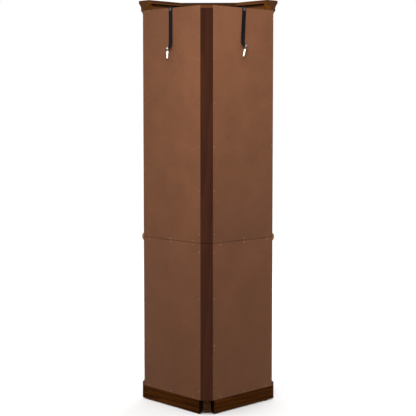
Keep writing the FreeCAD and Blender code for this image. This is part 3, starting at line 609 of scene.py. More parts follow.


# %% [markdown]
# ## Stained wood
# The front, mouldings and doors are solid wood with a walnut stain under satin lacquer. Three scales of
# pattern make it: broad bands where the annual rings run out of the board, fine fibres, and short dark
# pores. The stain sits deeper in the pores.

# %% Stained, plain and veneered wood
def wood(name, grain, dark, middle, light, roughness=0.42, pores=0.5, coat=0.08, band=9.0, relief=0.00025,
         gloss=0.3, sawn=None, painted_end_shade=None, back=None, painted_inner_light=None, painted_light_by_height=None):
    """A board of ring bands, fibres and pores, with its grain along the board and perhaps sawn ends. It can carry
    painted shade on faces that look back and on a board's shaded end, and painted light in a shaded hollow and towards
    a post's foot.
    """
    finish = Finish(name, roughness, coat_weight=coat, coat_roughness=0.25, specular_ior_level=gloss)
    line = grain_line(finish, grain)
    drift = finish.noise(finish.scaled(line, (1.1, 3, 3)), 2.0, 2.0)
    bands = finish.add("TexWave", {
        "Vector": finish.scaled(line, (0.5, band, band), (0.13, 0.4, 0.2)), "Scale": 1.6, "Distortion": 7.0,
        "Detail": 3.0, "Detail Scale": 1.4, "Detail Roughness": 0.6,
    }, bands_direction="DIAGONAL", wave_profile="SAW").outputs["Fac"]
    fibres = finish.noise(finish.scaled(line, (9, 330, 330)), 1.0, 4.0, 0.6)
    dashes = finish.noise(finish.scaled(line, (38, 900, 900)), 1.0, 1.0)
    shade = finish.sum("MULTIPLY_ADD", fibres, 0.55, finish.sum("MULTIPLY", bands, 0.24))
    shade = finish.sum("ADD", shade, finish.sum("MULTIPLY_ADD", drift, 0.3, 0.02))
    colour = finish.ramp(shade, (0.36, dark), (0.58, middle), (0.84, light))
    pore = finish.between(dashes, 0.60, 0.72, 0.0, pores)
    colour = finish.mix(pore, colour, tuple(part * 0.35 for part in dark[:3]) + (1,))
    if sawn:
        x, y, _ = finish.parts(finish.place)
        depth = finish.sum("SUBTRACT", WALL_SUM, finish.sum("ADD", finish.sum("ABSOLUTE", x), y))
        specks = finish.noise(finish.place, 700.0, 2.0)
        end = finish.between(finish.sum("MULTIPLY_ADD", specks, 0.0012, depth), 0.0012, 0.0022, 0.9, 0.0)
        colour = finish.mix(end, colour, sawn)
    # Painted shade: faces that look back, toward the high back light, are mixed to a dark brown so they read darker
    # than that light leaves them.
    if back:
        facing = finish.parts(finish.add("TexCoord").outputs["Normal"])[1]
        colour = finish.mix(finish.between(facing, 0.8, 0.9), colour, back)
    # Painted light: the crown's faces that look inwards, into the shaded hollow under the cap, get a lighter brown
    # than the stain.
    if painted_inner_light:
        x = finish.parts(finish.place)[0]
        inward = finish.parts(finish.add("TexCoord").outputs["Normal"])[0]
        inward = finish.sum("MULTIPLY", inward, finish.sum("SIGN", x))
        colour = finish.mix(finish.between(inward, -0.6, -0.7), colour, painted_inner_light)
    # Painted light and shade: the colour is multiplied lighter at the foot and darker at the top, evening out the
    # light that falls from above.
    if painted_light_by_height:
        height = finish.parts(finish.place)[2]
        colour = finish.mix(1.0, colour, finish.between(height, 0.0, cad_box[1][2], *painted_light_by_height), "MULTIPLY")
    # Painted shade: the end of a plinth board by the corner block is turned near-black, as if the slit beside the
    # block were in shade.
    if painted_end_shade is not None:
        end = finish.between(finish.parts(line)[0], painted_end_shade, painted_end_shade + 0.0008, 0.95, 0.0)
        colour = finish.mix(end, colour, tone(16, 6, 2))
    finish.set(Base_Color=colour)
    height = finish.sum("SUBTRACT", finish.sum("MULTIPLY", fibres, 0.5), pore)
    finish.set(Normal=finish.bump(height, 0.35, relief))
    finish.set(Roughness=finish.between(fibres, 0.3, 0.7, roughness - 0.06, roughness + 0.1))
    return finish.material


STAIN = (tone(44, 22, 9), tone(80, 44, 19), tone(106, 65, 32))
stain_up = wood("stained_wood_up", "up", *STAIN)
stain_across = wood("stained_wood_across", "across", *STAIN)
# Painted shade and light: the round and crown stains darken faces that look back, and the crown's stain also lightens
# its inward faces in the shaded hollow under the cap.
stain_round = wood(
    "stained_wood_round", "round", *STAIN, coat=0.02, gloss=0.15, sawn=tone(55, 28, 5), back=tone(48, 25, 8),
)
stain_crown = wood(
    "stained_wood_crown", "round", *STAIN, coat=0.02, gloss=0.15, sawn=tone(55, 28, 5), back=tone(48, 25, 8),
    painted_inner_light=tone(92, 55, 24),
)
stain_waist = wood("stained_wood_waist", "round", *STAIN, sawn=tone(126, 82, 46))
stain_door = wood("stained_wood_door", "door", *STAIN)
stain_side = wood("stained_wood_side", "side frame", *STAIN)
# Painted light: the post's stain is paler at its foot and deeper at its top, against the light that falls from above.
post_wood = wood(
    "post_wood", "up", tone(45, 23, 14), tone(52, 27, 17), tone(59, 32, 21), 0.85, 0.15, 0.0, gloss=0.05,
    painted_light_by_height=(1.42, 0.62),
)
edge_wood = wood("edge_wood", "up", tone(52, 26, 12), tone(74, 40, 20), tone(92, 54, 30), 0.6, 0.3, 0.0, gloss=0.2)
roof_edge = wood("roof_edge_wood", "walls", tone(50, 26, 3), tone(72, 41, 6), tone(94, 57, 12), 0.7, 0.3, 0.0, gloss=0.08)
PLINTH_END = min((abs(v.co.x) - v.co.y) * HALF_TURN for v in nodes["plinth_back_boards"].data.vertices)
# Painted shade: the plinth boards' ends beside the corner block are painted near-black.
plinth_wood = wood(
    "plinth_wood", "walls", tone(34, 14, 2), tone(62, 31, 5), tone(88, 50, 14), 0.8, 0.6, 0.0, 16.0, 0.0005, 0.02,
    painted_end_shade=PLINTH_END,
)
plywood = wood("roof_plywood", "across", tone(54, 31, 15), tone(72, 43, 22), tone(92, 59, 32), 0.8, 0.2, 0.0, 5.0, gloss=0.05)
inside_wood = wood("inside_veneer", "across", tone(84, 50, 26), tone(120, 76, 42), tone(150, 102, 62), 0.45, 0.35)
drawer_wood = wood("drawer_wood", "depth", tone(150, 112, 70), tone(188, 150, 102), tone(212, 178, 130), 0.6, 0.3, 0.0)
print("woods:", [material.name for material in bpy.data.materials if "wood" in material.name])

# %% [markdown]
# The two wall sides are closed with hardboard, a sheet of pressed wood fibre. Its painted back shows a
# soft, cloudy mottling, fine specks and short loose fibres, some level and some upright. The fibres are
# noise stretched in two directions.

# %% Hardboard and chipboard
def hardboard_finish():
    """Brown pressed-fibre sheet with a thin coat of paint."""
    finish = Finish("hardboard", 0.75, specular_ior_level=0.12)
    place = finish.place
    clouds = finish.noise(place, 9.0, 3.0, 0.55)
    specks = finish.noise(place, 420.0, 2.0, 0.6)
    across = finish.noise(finish.scaled(place, (160, 160, 900)), 1.0, 2.0)
    upward = finish.noise(finish.scaled(place, (900, 900, 120)), 1.0, 2.0)
    fibre = finish.sum("ADD", finish.sum("MULTIPLY", across, 0.5), finish.sum("MULTIPLY", upward, 0.5))
    shade = finish.sum("MULTIPLY_ADD", clouds, 0.2, finish.sum("MULTIPLY", fibre, 0.45))
    shade = finish.sum("MULTIPLY_ADD", specks, 0.35, shade)
    colour = finish.ramp(shade, (0.36, tone(82, 51, 33)), (0.5, tone(96, 61, 41)), (0.64, tone(110, 72, 50)))
    height = finish.sum("MULTIPLY_ADD", specks, 0.4, fibre)
    finish.set(Base_Color=colour, Normal=finish.bump(height, 0.25, 0.00012))
    finish.set(Roughness=finish.between(clouds, 0.35, 0.65, 0.7, 0.82))
    return finish.material


def chipboard_finish():
    """Raw chipboard: flat chips of several browns and thin dark glue gaps."""
    finish = Finish("chipboard", 0.85, specular_ior_level=0.05)
    chips = finish.add("TexVoronoi", {"Vector": finish.scaled(finish.place, (260, 260, 420)), "Scale": 1.0})
    grey = finish.parts(chips.outputs["Color"])[0]
    colour = finish.ramp(grey, (0.0, tone(30, 14, 5)), (0.45, tone(56, 31, 14)), (0.8, tone(94, 60, 32)))
    dark = finish.between(chips.outputs["Distance"], 0.45, 0.75, 0.0, 0.7)
    finish.set(Base_Color=finish.mix(dark, colour, tone(30, 15, 6)))
    finish.set(Normal=finish.bump(grey, 0.5, 0.0006))
    return finish.material


def floor_finish():
    """Pale painted floor with the faintest cloudiness."""
    finish = Finish("studio_floor", 0.9, specular_ior_level=0.1)
    clouds = finish.noise(finish.place, 0.8, 2.0)
    finish.set(Base_Color=finish.ramp(clouds, (0.3, (0.94, 0.94, 0.94, 1)), (0.7, (0.97, 0.97, 0.97, 1))))
    return finish.material


hardboard = hardboard_finish()
chipboard = chipboard_finish()
floor.data.materials.append(floor_finish())

# %% [markdown]
# ## Metals, glass, cloth and plastics
# The brass is aged, with brown patina lying on it in cloudy patches. The
# strap hardware is bright zinc plate. Glass is thin and clear with a green cast in its depth.

# %% Metal, glass, cloth and plastic finishes
def brass_finish(name, bright, dull, roughness):
    """Brass with brown patina in clouds."""
    finish = Finish(name, roughness, metallic=1.0)
    clouds = finish.noise(finish.place, 90.0, 4.0, 0.6)
    grit = finish.noise(finish.place, 900.0, 2.0)
    patina = finish.between(clouds, 0.38, 0.66)
    finish.set(Base_Color=finish.mix(patina, bright, dull))
    finish.set(Roughness=finish.between(clouds, 0.3, 0.7, roughness - 0.08, roughness + 0.18))
    finish.set(Normal=finish.bump(grit, 0.15, 0.0001))
    return finish.material


def zinc_finish(name, low, high, roughness):
    """Zinc plate with faint spangle and turning marks."""
    finish = Finish(name, roughness, metallic=1.0)
    spangle = finish.add("TexVoronoi", {"Vector": finish.place, "Scale": 420.0}).outputs["Color"]
    grey = finish.parts(spangle)[0]
    finish.set(Base_Color=finish.ramp(grey, (0.0, low), (1.0, high)))
    finish.set(Roughness=finish.between(grey, 0.0, 1.0, roughness - 0.08, roughness + 0.08))
    finish.set(Normal=finish.bump(finish.noise(finish.place, 1500.0, 2.0), 0.12, 0.00008))
    return finish.material


def glass_finish():
    """Clear float glass with the faintest streaks."""
    finish = Finish("clear_glass", 0.02, transmission_weight=1.0, ior=1.5)
    streaks = finish.noise(finish.scaled(finish.place, (30, 30, 3)), 1.0, 2.0)
    finish.set(Base_Color=finish.ramp(streaks, (0.3, (0.93, 0.98, 0.95, 1)), (0.7, (0.97, 1, 0.985, 1))))
    finish.set(Roughness=finish.between(streaks, 0.4, 0.9, 0.01, 0.05))
    return finish.material


def mirror_finish():
    """Silvered glass, a little clouded here and there."""
    finish = Finish("mirror_silver", 0.03, metallic=1.0)
    cloud = finish.noise(finish.place, 5.0, 3.0)
    finish.set(Base_Color=finish.ramp(cloud, (0.3, tone(226, 230, 228)), (0.7, tone(240, 243, 241))))
    finish.set(Roughness=finish.between(cloud, 0.45, 0.8, 0.02, 0.07))
    return finish.material


def velvet_finish():
    """Dark red velvet: soft nap in drifting patches and a pale sheen at grazing angles."""
    finish = Finish("velvet", 0.95, sheen_weight=0.8, sheen_roughness=0.4)
    nap = finish.noise(finish.place, 26.0, 4.0, 0.6)
    pile = finish.noise(finish.place, 1800.0, 2.0)
    colour = finish.ramp(nap, (0.3, tone(66, 8, 16)), (0.55, tone(98, 16, 27)), (0.75, tone(122, 28, 38)))
    finish.set(Base_Color=colour, Normal=finish.bump(pile, 0.7, 0.0006))
    return finish.material


def plastic_finish(name, low, high, roughness):
    """Moulded plastic with a fine matt skin."""
    finish = Finish(name, roughness)
    skin = finish.noise(finish.place, 1100.0, 2.0)
    flow = finish.noise(finish.place, 40.0, 2.0)
    finish.set(Base_Color=finish.ramp(flow, (0.35, low), (0.65, high)))
    finish.set(Roughness=finish.between(flow, 0.3, 0.7, roughness - 0.05, roughness + 0.07))
    finish.set(Normal=finish.bump(skin, 0.2, 0.0001))
    return finish.material


brass = brass_finish("antique_brass", tone(176, 132, 66), tone(84, 58, 30), 0.32)
nail_brass = brass_finish("nail_brass", tone(198, 178, 140), tone(130, 108, 80), 0.34)
zinc = zinc_finish("zinc_plate", tone(196, 198, 204), tone(240, 241, 244), 0.28)
dull_zinc = zinc_finish("dull_zinc_plate", tone(98, 96, 106), tone(132, 130, 142), 0.5)
glass = glass_finish()
silver = mirror_finish()
velvet = velvet_finish()
white_plastic = plastic_finish("white_plastic", tone(232, 232, 228), tone(250, 250, 247), 0.38)
glide_plastic = plastic_finish("glide_plastic", tone(28, 26, 25), tone(44, 41, 39), 0.55)
catch_plastic = plastic_finish("catch_plastic", tone(70, 46, 30), tone(88, 60, 40), 0.5)

# %% [markdown]
# ## Dressing the boards
# The frame's boards have perfectly sharp corners. Real boards are sanded, and the thin bright line along a
# sanded edge is what makes a board look real. A weld joins the mesh's loose triangles, a planar decimation
# clears the lines inside flat faces, and a small bevel rounds each edge without changing the size.

# %% Give every node its finish
FINISHES = {
    hardboard: ["upper_back_panel_left", "upper_back_panel_right", "base_back_panel_left", "base_back_panel_right"],
    post_wood: ["upper_back_post", "base_back_post"],
    edge_wood: ["base_sides"],
    roof_edge: ["crown_end_blocks"],
    plywood: ["roof_panel"],
    stain_up: ["base_front_posts", "upper_front_posts"],
    stain_across: ["base_front_rails", "upper_header_rail"],
    plinth_wood: ["plinth_back_boards"],
    inside_wood: ["base_bottom_panel", "base_top_panel", "upper_bottom_panel", "base_shelf", "drawer_decks"],
    drawer_wood: ["drawer_guides"],
    brass: ["hinge_plates", "hinge_pins", "upper_door_hinges", "lower_door_hinges", "shelf_pins"],
    glass: ["upper_door_glass", "side_glass", "glass_shelves"],
    silver: ["mirrors"],
    velvet: ["second_drawer_tray"],
    glide_plastic: ["floor_glides"],
    catch_plastic: ["magnetic_catches"],
}
SOFT_EDGE = {hardboard: 0.0004, glass: 0.0006, silver: 0.0006, brass: 0.0003, glide_plastic: 0.0008,
             velvet: 0.0006}
BOARD_EDGE = 0.0009


def sand(board, width):
    """Clear the lines inside flat faces and round the edges."""
    flat = board.modifiers.new("flat", "DECIMATE")
    flat.decimate_type = "DISSOLVE"
    flat.angle_limit = math.radians(0.5)
    edge = board.modifiers.new("edge", "BEVEL")
    edge.width = width
    edge.segments = 2
    edge.limit_method = "ANGLE"
    edge.angle_limit = math.radians(32)
    edge.harden_normals = True


for material, names in FINISHES.items():
    for node in names:
        board = nodes[node]
        board.data.materials.clear()
        board.data.materials.append(material)
        weld = board.modifiers.new("weld", "WELD")
        weld.merge_threshold = WELD_REACH
        sand(board, SOFT_EDGE.get(material, BOARD_EDGE))
print("dressed:", sum(len(names) for names in FINISHES.values()), "of", len(nodes), "nodes")

# %% [markdown]
# Frames, drawer boxes and mitred mouldings are several boards that touch along whole faces. A weld would
# stick their corners together and the bevel would then pull at both boards at once. So these are taken apart
# first: the faces of one board follow each other in the mesh, and a board is complete when each of its edges
# has met two faces. Every board is welded alone, and so each keeps rounded edges of its own, which also
# leaves the fine line that you see where two boards meet.

# %% Jointed boards, one by one
JOINT_EDGE = 0.0006
JOINTED = {
    "crown_moulding": ("crown_lengths", stain_crown, "cabinet", "stained_wood"),
    "crown_cap_frame": ("crown_cap_boards", stain_round, "cabinet", "stained_wood"),
    "waist_moulding": ("waist_lengths", stain_waist, "cabinet", "stained_wood"),
    "plinth_mouldings": ("plinth_lengths", stain_round, "cabinet", "plinth_wood"),
    "upper_side_frame_left": ("side_frame_boards_left", stain_side, "cabinet", "stained_wood"),
    "upper_side_frame_right": ("side_frame_boards_right", stain_side, "cabinet", "stained_wood"),
    "upper_door_frame": ("upper_door_boards", stain_door, "upper_door", "stained_wood"),
    "lower_door_frame": ("lower_door_boards", stain_door, "lower_door", "stained_wood"),
    "top_drawer_box": ("top_drawer_boards", drawer_wood, "top_drawer", "plain_wood"),
    "second_drawer_box": ("second_drawer_boards", drawer_wood, "second_drawer", "plain_wood"),
}


def board_runs(mesh):
    """The face numbers of each board of a mesh, as (first, past last)."""
    open_edges, first = set(), 0
    for number, face in enumerate(mesh.polygons):
        corners = [tuple(round(part / WELD_REACH) for part in mesh.vertices[v].co) for v in face.vertices]
        for pair in zip(corners, corners[1:] + corners[:1]):
            open_edges ^= {frozenset(pair)}
        if not open_edges:
            yield first, number + 1
            first = number + 1


def taken_apart(node):
    """A node's boards, each welded alone."""
    mesh = nodes[node].data
    shape = bmesh.new()
    for first, last in board_runs(mesh):
        board = bmesh.new()
        board.from_mesh(mesh)
        others = [face for face in board.faces if not first <= face.index < last]
        bmesh.ops.delete(board, geom=others, context="FACES")
        bmesh.ops.remove_doubles(board, verts=board.verts, dist=WELD_REACH)
        join(shape, board)
    return shape


for node, (name, material, body, kind) in JOINTED.items():
    boards = finish(name, taken_apart(node), material, body)
    sand(boards, JOINT_EDGE)
    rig.replaces(boards, node)
    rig.slot(boards, kind)
    print(name, "has", len(list(board_runs(nodes[node].data))), "boards")

# %% [markdown]
# Behind the cut corner of the plinth stands a rough block of chipboard. It doesn't fill the corner: a dark
# slit is left on each side of it. A cube is sized to the block's own face, less the two slits, and its edges
# are a little crumbled.

# %% The corner block
SLIT = 10 * MM
low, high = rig.box("plinth_corner_block")
half = max(vert.co.x for vert in nodes["plinth_corner_block"].data.vertices if vert.co.y > high.y - WELD_REACH)
corner = bmesh.new()
add_cube(corner, (SLIT - half, low.y, low.z), (half - SLIT, high.y, high.z), 0.8 * MM)
block = finish("chipboard_block", corner, chipboard, "cabinet")
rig.replaces(block, "plinth_corner_block")
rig.slot(block, "chipboard")
print("corner block", round((half - SLIT) * 2000, 1), "mm wide, with a slit on each side")

# %% [markdown]
# ## The straps
# Webbing is woven flat, so each strap is a thin ribbon and not a round cord. We draw its section once, with
# the slightly fuller edge (the selvedge) that weaving gives it, and extrude it from point to point of the
# strap's line. Two numbers are stored at every vertex, how far across and how far along it is, and the
# weave is drawn from those, so the pattern follows the webbing round its curl.

# %% Webbing that follows its line
def webbing_finish():
    """Black polyester webbing: rows of ribs along it, crossed by the weft, with a dull sheen."""
    finish = Finish("strap_webbing", 0.88, sheen_weight=0.02, sheen_roughness=0.5, specular_ior_level=0.07)
    across, along, _ = finish.parts(finish.add("Attribute", attribute_name="webbing").outputs["Vector"])
    rib = finish.sum("SINE", finish.sum("MULTIPLY", across, math.tau / 0.0016))
    slant = finish.sum("MULTIPLY_ADD", finish.sum("ABSOLUTE", rib), 0.0006, along)
    weft = finish.sum("SINE", finish.sum("MULTIPLY", slant, math.tau / 0.0013))
    height = finish.sum("MULTIPLY_ADD", weft, 0.35, rib)
    yarn = finish.noise(finish.vector(finish.sum("MULTIPLY", across, 2400.0), finish.sum("MULTIPLY", along, 700.0), 0.0), 1.0)
    shade = finish.sum("MULTIPLY_ADD", height, 0.22, yarn)
    finish.set(Base_Color=finish.ramp(shade, (0.2, tone(2, 2, 3)), (0.5, tone(5, 5, 7)), (0.85, tone(13, 13, 16))))
    finish.set(Normal=finish.bump(height, 0.8, 0.0003))
    return finish.material


def strap_section():
    """Half the way round a webbing section as (across, thick) shares, and its selvedge."""
    selvedge = 0.05
    flat = [(-1 + selvedge * 2, 0.86), (-0.5, 0.8), (0, 0.8), (0.5, 0.8), (1 - selvedge * 2, 0.86)]
    top = [(-1, 0.45), (-1 + selvedge, 1.0)] + flat + [(1 - selvedge, 1.0), (1, 0.45)]
    return top + [(a, -b) for a, b in reversed(top)]


def ribbon(name, side):
    """A strap along its line."""
    along, out, down = strap_axes(side)
    line = ROUTES[side][1]
    shape = bmesh.new()
    layer = shape.verts.layers.float_vector.new("webbing")
    run = 0.0
    frames = []
    for here, back, ahead in zip(line, [line[0]] + line, line[1:] + [line[-1]]):
        forward = (ahead - back).normalized()
        face = forward.cross(along).normalized()
        frames.append(Matrix((along, face, forward)).transposed().to_4x4())
        frames[-1].translation = here
    ring = []
    for across, thick in strap_section():
        vert = shape.verts.new((across * STRAP_WIDE / 2, thick * STRAP_THICK / 2, 0))
        vert[layer] = (across * STRAP_WIDE / 2, 0, 0)
        ring.append(vert)
    edges = [shape.edges.new(pair) for pair in zip(ring, ring[1:] + ring[:1])]
    start = shape.faces.new(ring)
    bmesh.ops.transform(shape, matrix=frames[0], verts=ring)
    for before, after, gap in zip(frames, frames[1:], [(b - a).length for a, b in zip(line, line[1:])]):
        run += gap
        grown = bmesh.ops.extrude_edge_only(shape, edges=edges)["geom"]
        ring = [part for part in grown if isinstance(part, bmesh.types.BMVert)]
        edges = [part for part in grown if isinstance(part, bmesh.types.BMEdge)]
        bmesh.ops.transform(shape, matrix=after @ before.inverted(), verts=ring)
        for vert in ring:
            vert[layer] = (vert[layer][0], run, 0)
    bmesh.ops.contextual_create(shape, geom=edges)
    strap = finish(name, shape, webbing, "cabinet", smooth=True)
    strap.data.set_sharp_from_angle(angle=math.radians(50))
    return strap


webbing = webbing_finish()
straps = {side: ribbon(f"webbing_strap_{side}", side) for side in SIDES}
for side, strap in straps.items():
    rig.replaces(strap, f"strap_{side}")
    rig.slot(strap, "webbing")
    print(strap.name, len(strap.data.polygons), "faces")

# %% [markdown]
# ## Screws and wall plugs
# Turned pieces are a short profile spun round an axis. The top screw has a thin washer and a domed head
# with a driving cross. The wall screw that hangs in the strap's end has a cup washer with a rolled rim, a
# hexagon head and a thread that disappears into a ribbed white wall plug.

# %% Strap screws
FINE = 48


def head_cross(radius, depth):
    """A driving cross sunk in a flat disc: the disc's ring is bridged to a cross and the cross pushed in."""
    shape = bmesh.new()
    bmesh.ops.create_circle(shape, segments=FINE, radius=radius)
    cross = bmesh.ops.create_circle(shape, segments=12, radius=radius * 0.62)["verts"]
    for number, vert in enumerate(cross):
        if number % 3 == 1:
            bmesh.ops.scale(shape, vec=(0.26, 0.26, 1), verts=[vert])
        else:
            turn = math.radians(15 if number % 3 == 0 else -15)
            bmesh.ops.rotate(shape, cent=(0, 0, 0), matrix=Matrix.Rotation(turn * -0.3, 3, "Z"), verts=[vert])
    edges = [edge for edge in shape.edges]
    bmesh.ops.bridge_loops(shape, edges=edges)
    sunk = bmesh.ops.contextual_create(shape, geom=cross)["faces"]
    pushed = bmesh.ops.extrude_face_region(shape, geom=sunk)["geom"]
    bmesh.ops.delete(shape, geom=sunk, context="FACES_ONLY")
    bmesh.ops.translate(shape, vec=(0, 0, -depth), verts=[v for v in pushed if isinstance(v, bmesh.types.BMVert)])
    return shape


def top_screw(side):
    """Shank, washer, domed head and driving cross of a strap's upper screw, ready at its place."""
    high = STRAP_THICK / 2
    shape = turned([
        (0, -20 * MM), (2.0 * MM, -20 * MM), (2.0 * MM, high - 0.3 * MM), (7.6 * MM, high - 0.3 * MM),
        (8.0 * MM, high), (7.9 * MM, high + 0.9 * MM),
        (7.4 * MM, high + 1.2 * MM), (4.0 * MM, high + 1.2 * MM), (4.05 * MM, high + 1.7 * MM),
        (3.7 * MM, high + 2.8 * MM), (3.0 * MM, high + 3.5 * MM), (2.6 * MM, high + 3.75 * MM),
    ], FINE)
    cross = head_cross(2.6 * MM, 1.4 * MM)
    bmesh.ops.translate(cross, vec=(0, 0, high + 3.75 * MM), verts=cross.verts)
    join(shape, cross)
    bmesh.ops.remove_doubles(shape, verts=shape.verts, dist=WELD_REACH)
    spot = wall_spot(side, -ROUTE[side][1][0] * MM, STRAP_REACH, PANEL_TOP - SCREW_DROP)
    bmesh.ops.transform(shape, matrix=aim(spot, OUT[side]), verts=shape.verts)
    return shape


screws = top_screw("left")
join(screws, top_screw("right"))
screw_pair = finish("strap_top_screws", screws, dull_zinc, "cabinet", smooth=True)
screw_pair.data.set_sharp_from_angle(angle=math.radians(40))
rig.replaces(screw_pair, "strap_screws")
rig.slot(screw_pair, "zinc")

# %% Wall screws with cup washers, and their plugs
SEAT = STRAP_THICK / 2 + 0.2 * MM
CUP = 3 * MM
CUP_RADIUS = 9.5 * MM
HEX_HEIGHT = 6 * MM
HEX_RADIUS = 4.5 * MM
WALL_SCREW = 42 * MM
PLUG_START = 12 * MM
PLUG_END = 46 * MM


def anchor_frame(side):
    """Where the wall screw hangs and how it points."""
    along, out, down = strap_axes(side)
    route = ROUTES[side][0]
    tip = (route[-1] - route[-2]).normalized()
    level = (along - UP * along.z).normalized()
    return aim(route[-1] - tip * CUP_RADIUS, (down - out * 0.14 + level * SCREW_LEAN[side]).normalized())


def wall_screw(side):
    """Hexagon head, cup washer with a rolled rim, and a threaded shank."""
    shape = turned([
        (2.0 * MM, -SEAT - CUP), (4.6 * MM, -SEAT - CUP), (5.6 * MM, -SEAT - CUP * 0.85),
        (8.0 * MM, -SEAT - CUP * 0.3), (9.1 * MM, -SEAT - CUP * 0.26), (9.5 * MM, -SEAT - CUP * 0.12),
        (9.4 * MM, -SEAT - 0.02 * MM), (8.8 * MM, -SEAT), (2.0 * MM, -SEAT), (2.0 * MM, -SEAT - CUP),
    ], FINE)
    head = bmesh.new()
    bmesh.ops.create_cone(
        head, cap_ends=True, segments=6, radius1=HEX_RADIUS, radius2=HEX_RADIUS, depth=HEX_HEIGHT * 0.8,
    )
    soften(head, [edge for edge in head.edges], 0.35 * MM, 2)
    bmesh.ops.translate(head, vec=(0, 0, -SEAT - CUP - HEX_HEIGHT * 0.4), verts=head.verts)
    join(shape, head)
    flange = turned([
        (0, -SEAT - CUP - 1.0 * MM), (4.2 * MM, -SEAT - CUP - 0.9 * MM), (4.4 * MM, -SEAT - CUP - 0.3 * MM),
        (4.4 * MM, -SEAT - CUP + 0.1 * MM), (0, -SEAT - CUP + 0.1 * MM),
    ], FINE)
    join(shape, flange)
    turns = 12
    pitch = (WALL_SCREW + SEAT) / turns
    thread = [(0, -SEAT), (1.4 * MM, -SEAT)]
    for turn in range(turns):
        start = -SEAT + turn * pitch
        thread += [(1.5 * MM, start + pitch * 0.25), (2.0 * MM, start + pitch * 0.5), (1.5 * MM, start + pitch * 0.75)]
    thread.append((0, WALL_SCREW + 1.9 * MM))
    join(shape, turned(thread, 20))
    bmesh.ops.transform(shape, matrix=anchor_frame(side), verts=shape.verts)
    return shape


def wall_plug(side):
    """A nylon plug: a collar, ribs that grip the wall, two fins and a narrower end."""
    ribs = 8
    body_start = PLUG_START + 1.5 * MM
    pitch = (PLUG_END - body_start) / (ribs + 1)
    profile = [(0, PLUG_END - 3 * MM), (2.1 * MM, PLUG_END - 3 * MM), (2.1 * MM, PLUG_START), (5.2 * MM, PLUG_START), (5.4 * MM, PLUG_START + 0.3 * MM),
               (5.4 * MM, PLUG_START + 1.2 * MM), (5.1 * MM, body_start)]
    for rib in range(ribs):
        start = body_start + rib * pitch
        slim = 1 - 0.02 * rib
        profile += [(3.9 * slim * MM, start + pitch * 0.08), (4.5 * slim * MM, start + pitch * 0.7),
                    (4.45 * slim * MM, start + pitch * 0.9)]
    profile += [(3.5 * MM, PLUG_END - pitch * 0.9), (3.3 * MM, PLUG_END - 0.6 * MM), (2.8 * MM, PLUG_END),
                (0, PLUG_END)]
    shape = turned(profile, 36)
    for turn in (0, math.pi):
        add_cube(
            shape, (3.6 * MM, -0.45 * MM, body_start + 1 * MM), (5.1 * MM, 0.45 * MM, body_start + 11 * MM), 0.2 * MM,
            Matrix.Rotation(turn, 4, "Z"),
        )
    bmesh.ops.transform(shape, matrix=anchor_frame(side), verts=shape.verts)
    return shape


for side in SIDES:
    screw = finish(f"wall_screw_{side}", wall_screw(side), zinc, "cabinet", smooth=True)
    plug = finish(f"nylon_plug_{side}", wall_plug(side), white_plastic, "cabinet", smooth=True)
    for piece in (screw, plug):
        piece.data.set_sharp_from_angle(angle=math.radians(35))
    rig.replaces(screw, f"anchor_screw_{side}")
    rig.replaces(plug, f"wall_plug_{side}")
    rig.slot(screw, "zinc")
    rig.slot(plug, "white_plastic")
    line = ROUTES[side][1]
    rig.cord(
        straps[side], exit=line[0], length=LENGTH[side], diameter=STRAP_WIDE, far_end="fitting", stiffness="medium",
        lay="hanging", path=line, with_pieces=[screw, plug],
    )
    print(screw.name, len(screw.data.polygons), "faces;", plug.name, len(plug.data.polygons), "faces")

# %% [markdown]
# ## Nail heads
# The hardboard is pinned to the frame with small brass nails. A hammered nail head is a low dome, not a
# flat disc, and it is the dome that catches the light. We take the place of every nail from the frame.

# %% Domed nail heads
NAIL_HEAD = 1.9 * MM
NAIL_RISE = 0.5 * MM


def nail_heads():
    """A dome and a short shank for every nail of the frame."""
    shape = bmesh.new()
    dome = [(0, NAIL_RISE), (0.7 * MM, NAIL_RISE * 0.92), (1.4 * MM, NAIL_RISE * 0.6), (NAIL_HEAD, 0),
            (NAIL_HEAD, -0.05 * MM), (0, -0.05 * MM)]
    found = solids_of("panel_nails")
    for points in found:
        middle = middle_of(points)
        side = "right" if middle.x > 0 else "left"
        depth = (WALL_SUM - (abs(middle.x) + middle.y)) * HALF_TURN
        spot = middle + OUT[side] * depth
        head = turned(dome, 12)
        bmesh.ops.transform(head, matrix=aim(spot, OUT[side]), verts=head.verts)
        join(shape, head)
    print(len(found), "nails")
    return shape


nails = finish("brass_nail_heads", nail_heads(), nail_brass, "cabinet", smooth=True)
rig.replaces(nails, "panel_nails")
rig.slot(nails, "nail_brass")

# %% [markdown]
# ## Frames, beads and panels
# A glazed door is not a hole with glass in it: a thin moulded bead runs round the pane on both faces, cut
# to a mitre in each corner. A raised panel slopes down to its edge so that it fits the groove of the frame,
# and a drawer front has a thumb moulding worked round it. All three are rectangles inside rectangles, so one
# helper makes them: it bridges rectangular rings, each set in from the edge and out from the face.

# %% Rings for beads, panels and drawer fronts
def ringed(width, height, rings, capped):
    """Rectangles of (set in, out), bridged one to the next. Capped closes both ends, else it's a loop."""
    shape = bmesh.new()
    loops = []
    for inset, out in rings:
        x, z = width / 2 - inset, height / 2 - inset
        corners = [shape.verts.new((a * x, -out, b * z)) for a, b in ((-1, -1), (1, -1), (1, 1), (-1, 1))]
        loops.append([shape.edges.new(pair) for pair in zip(corners, corners[1:] + corners[:1])])
    following = loops[1:] if capped else loops[1:] + loops[:1]
    for here, there in zip(loops, following):
        bmesh.ops.bridge_loops(shape, edges=here + there)
    if capped:
        for loop in (loops[0], loops[-1]):
            bmesh.ops.contextual_create(shape, geom=loop)
    return shape


def set_up(shape, middle, across, facing):
    """Turn a flat shape so that it faces a way, with its middle at a spot."""
    turn = Matrix((across, -facing, UP)).transposed().to_4x4()
    bmesh.ops.transform(shape, matrix=Matrix.Translation(middle) @ turn, verts=shape.verts)
    return shape


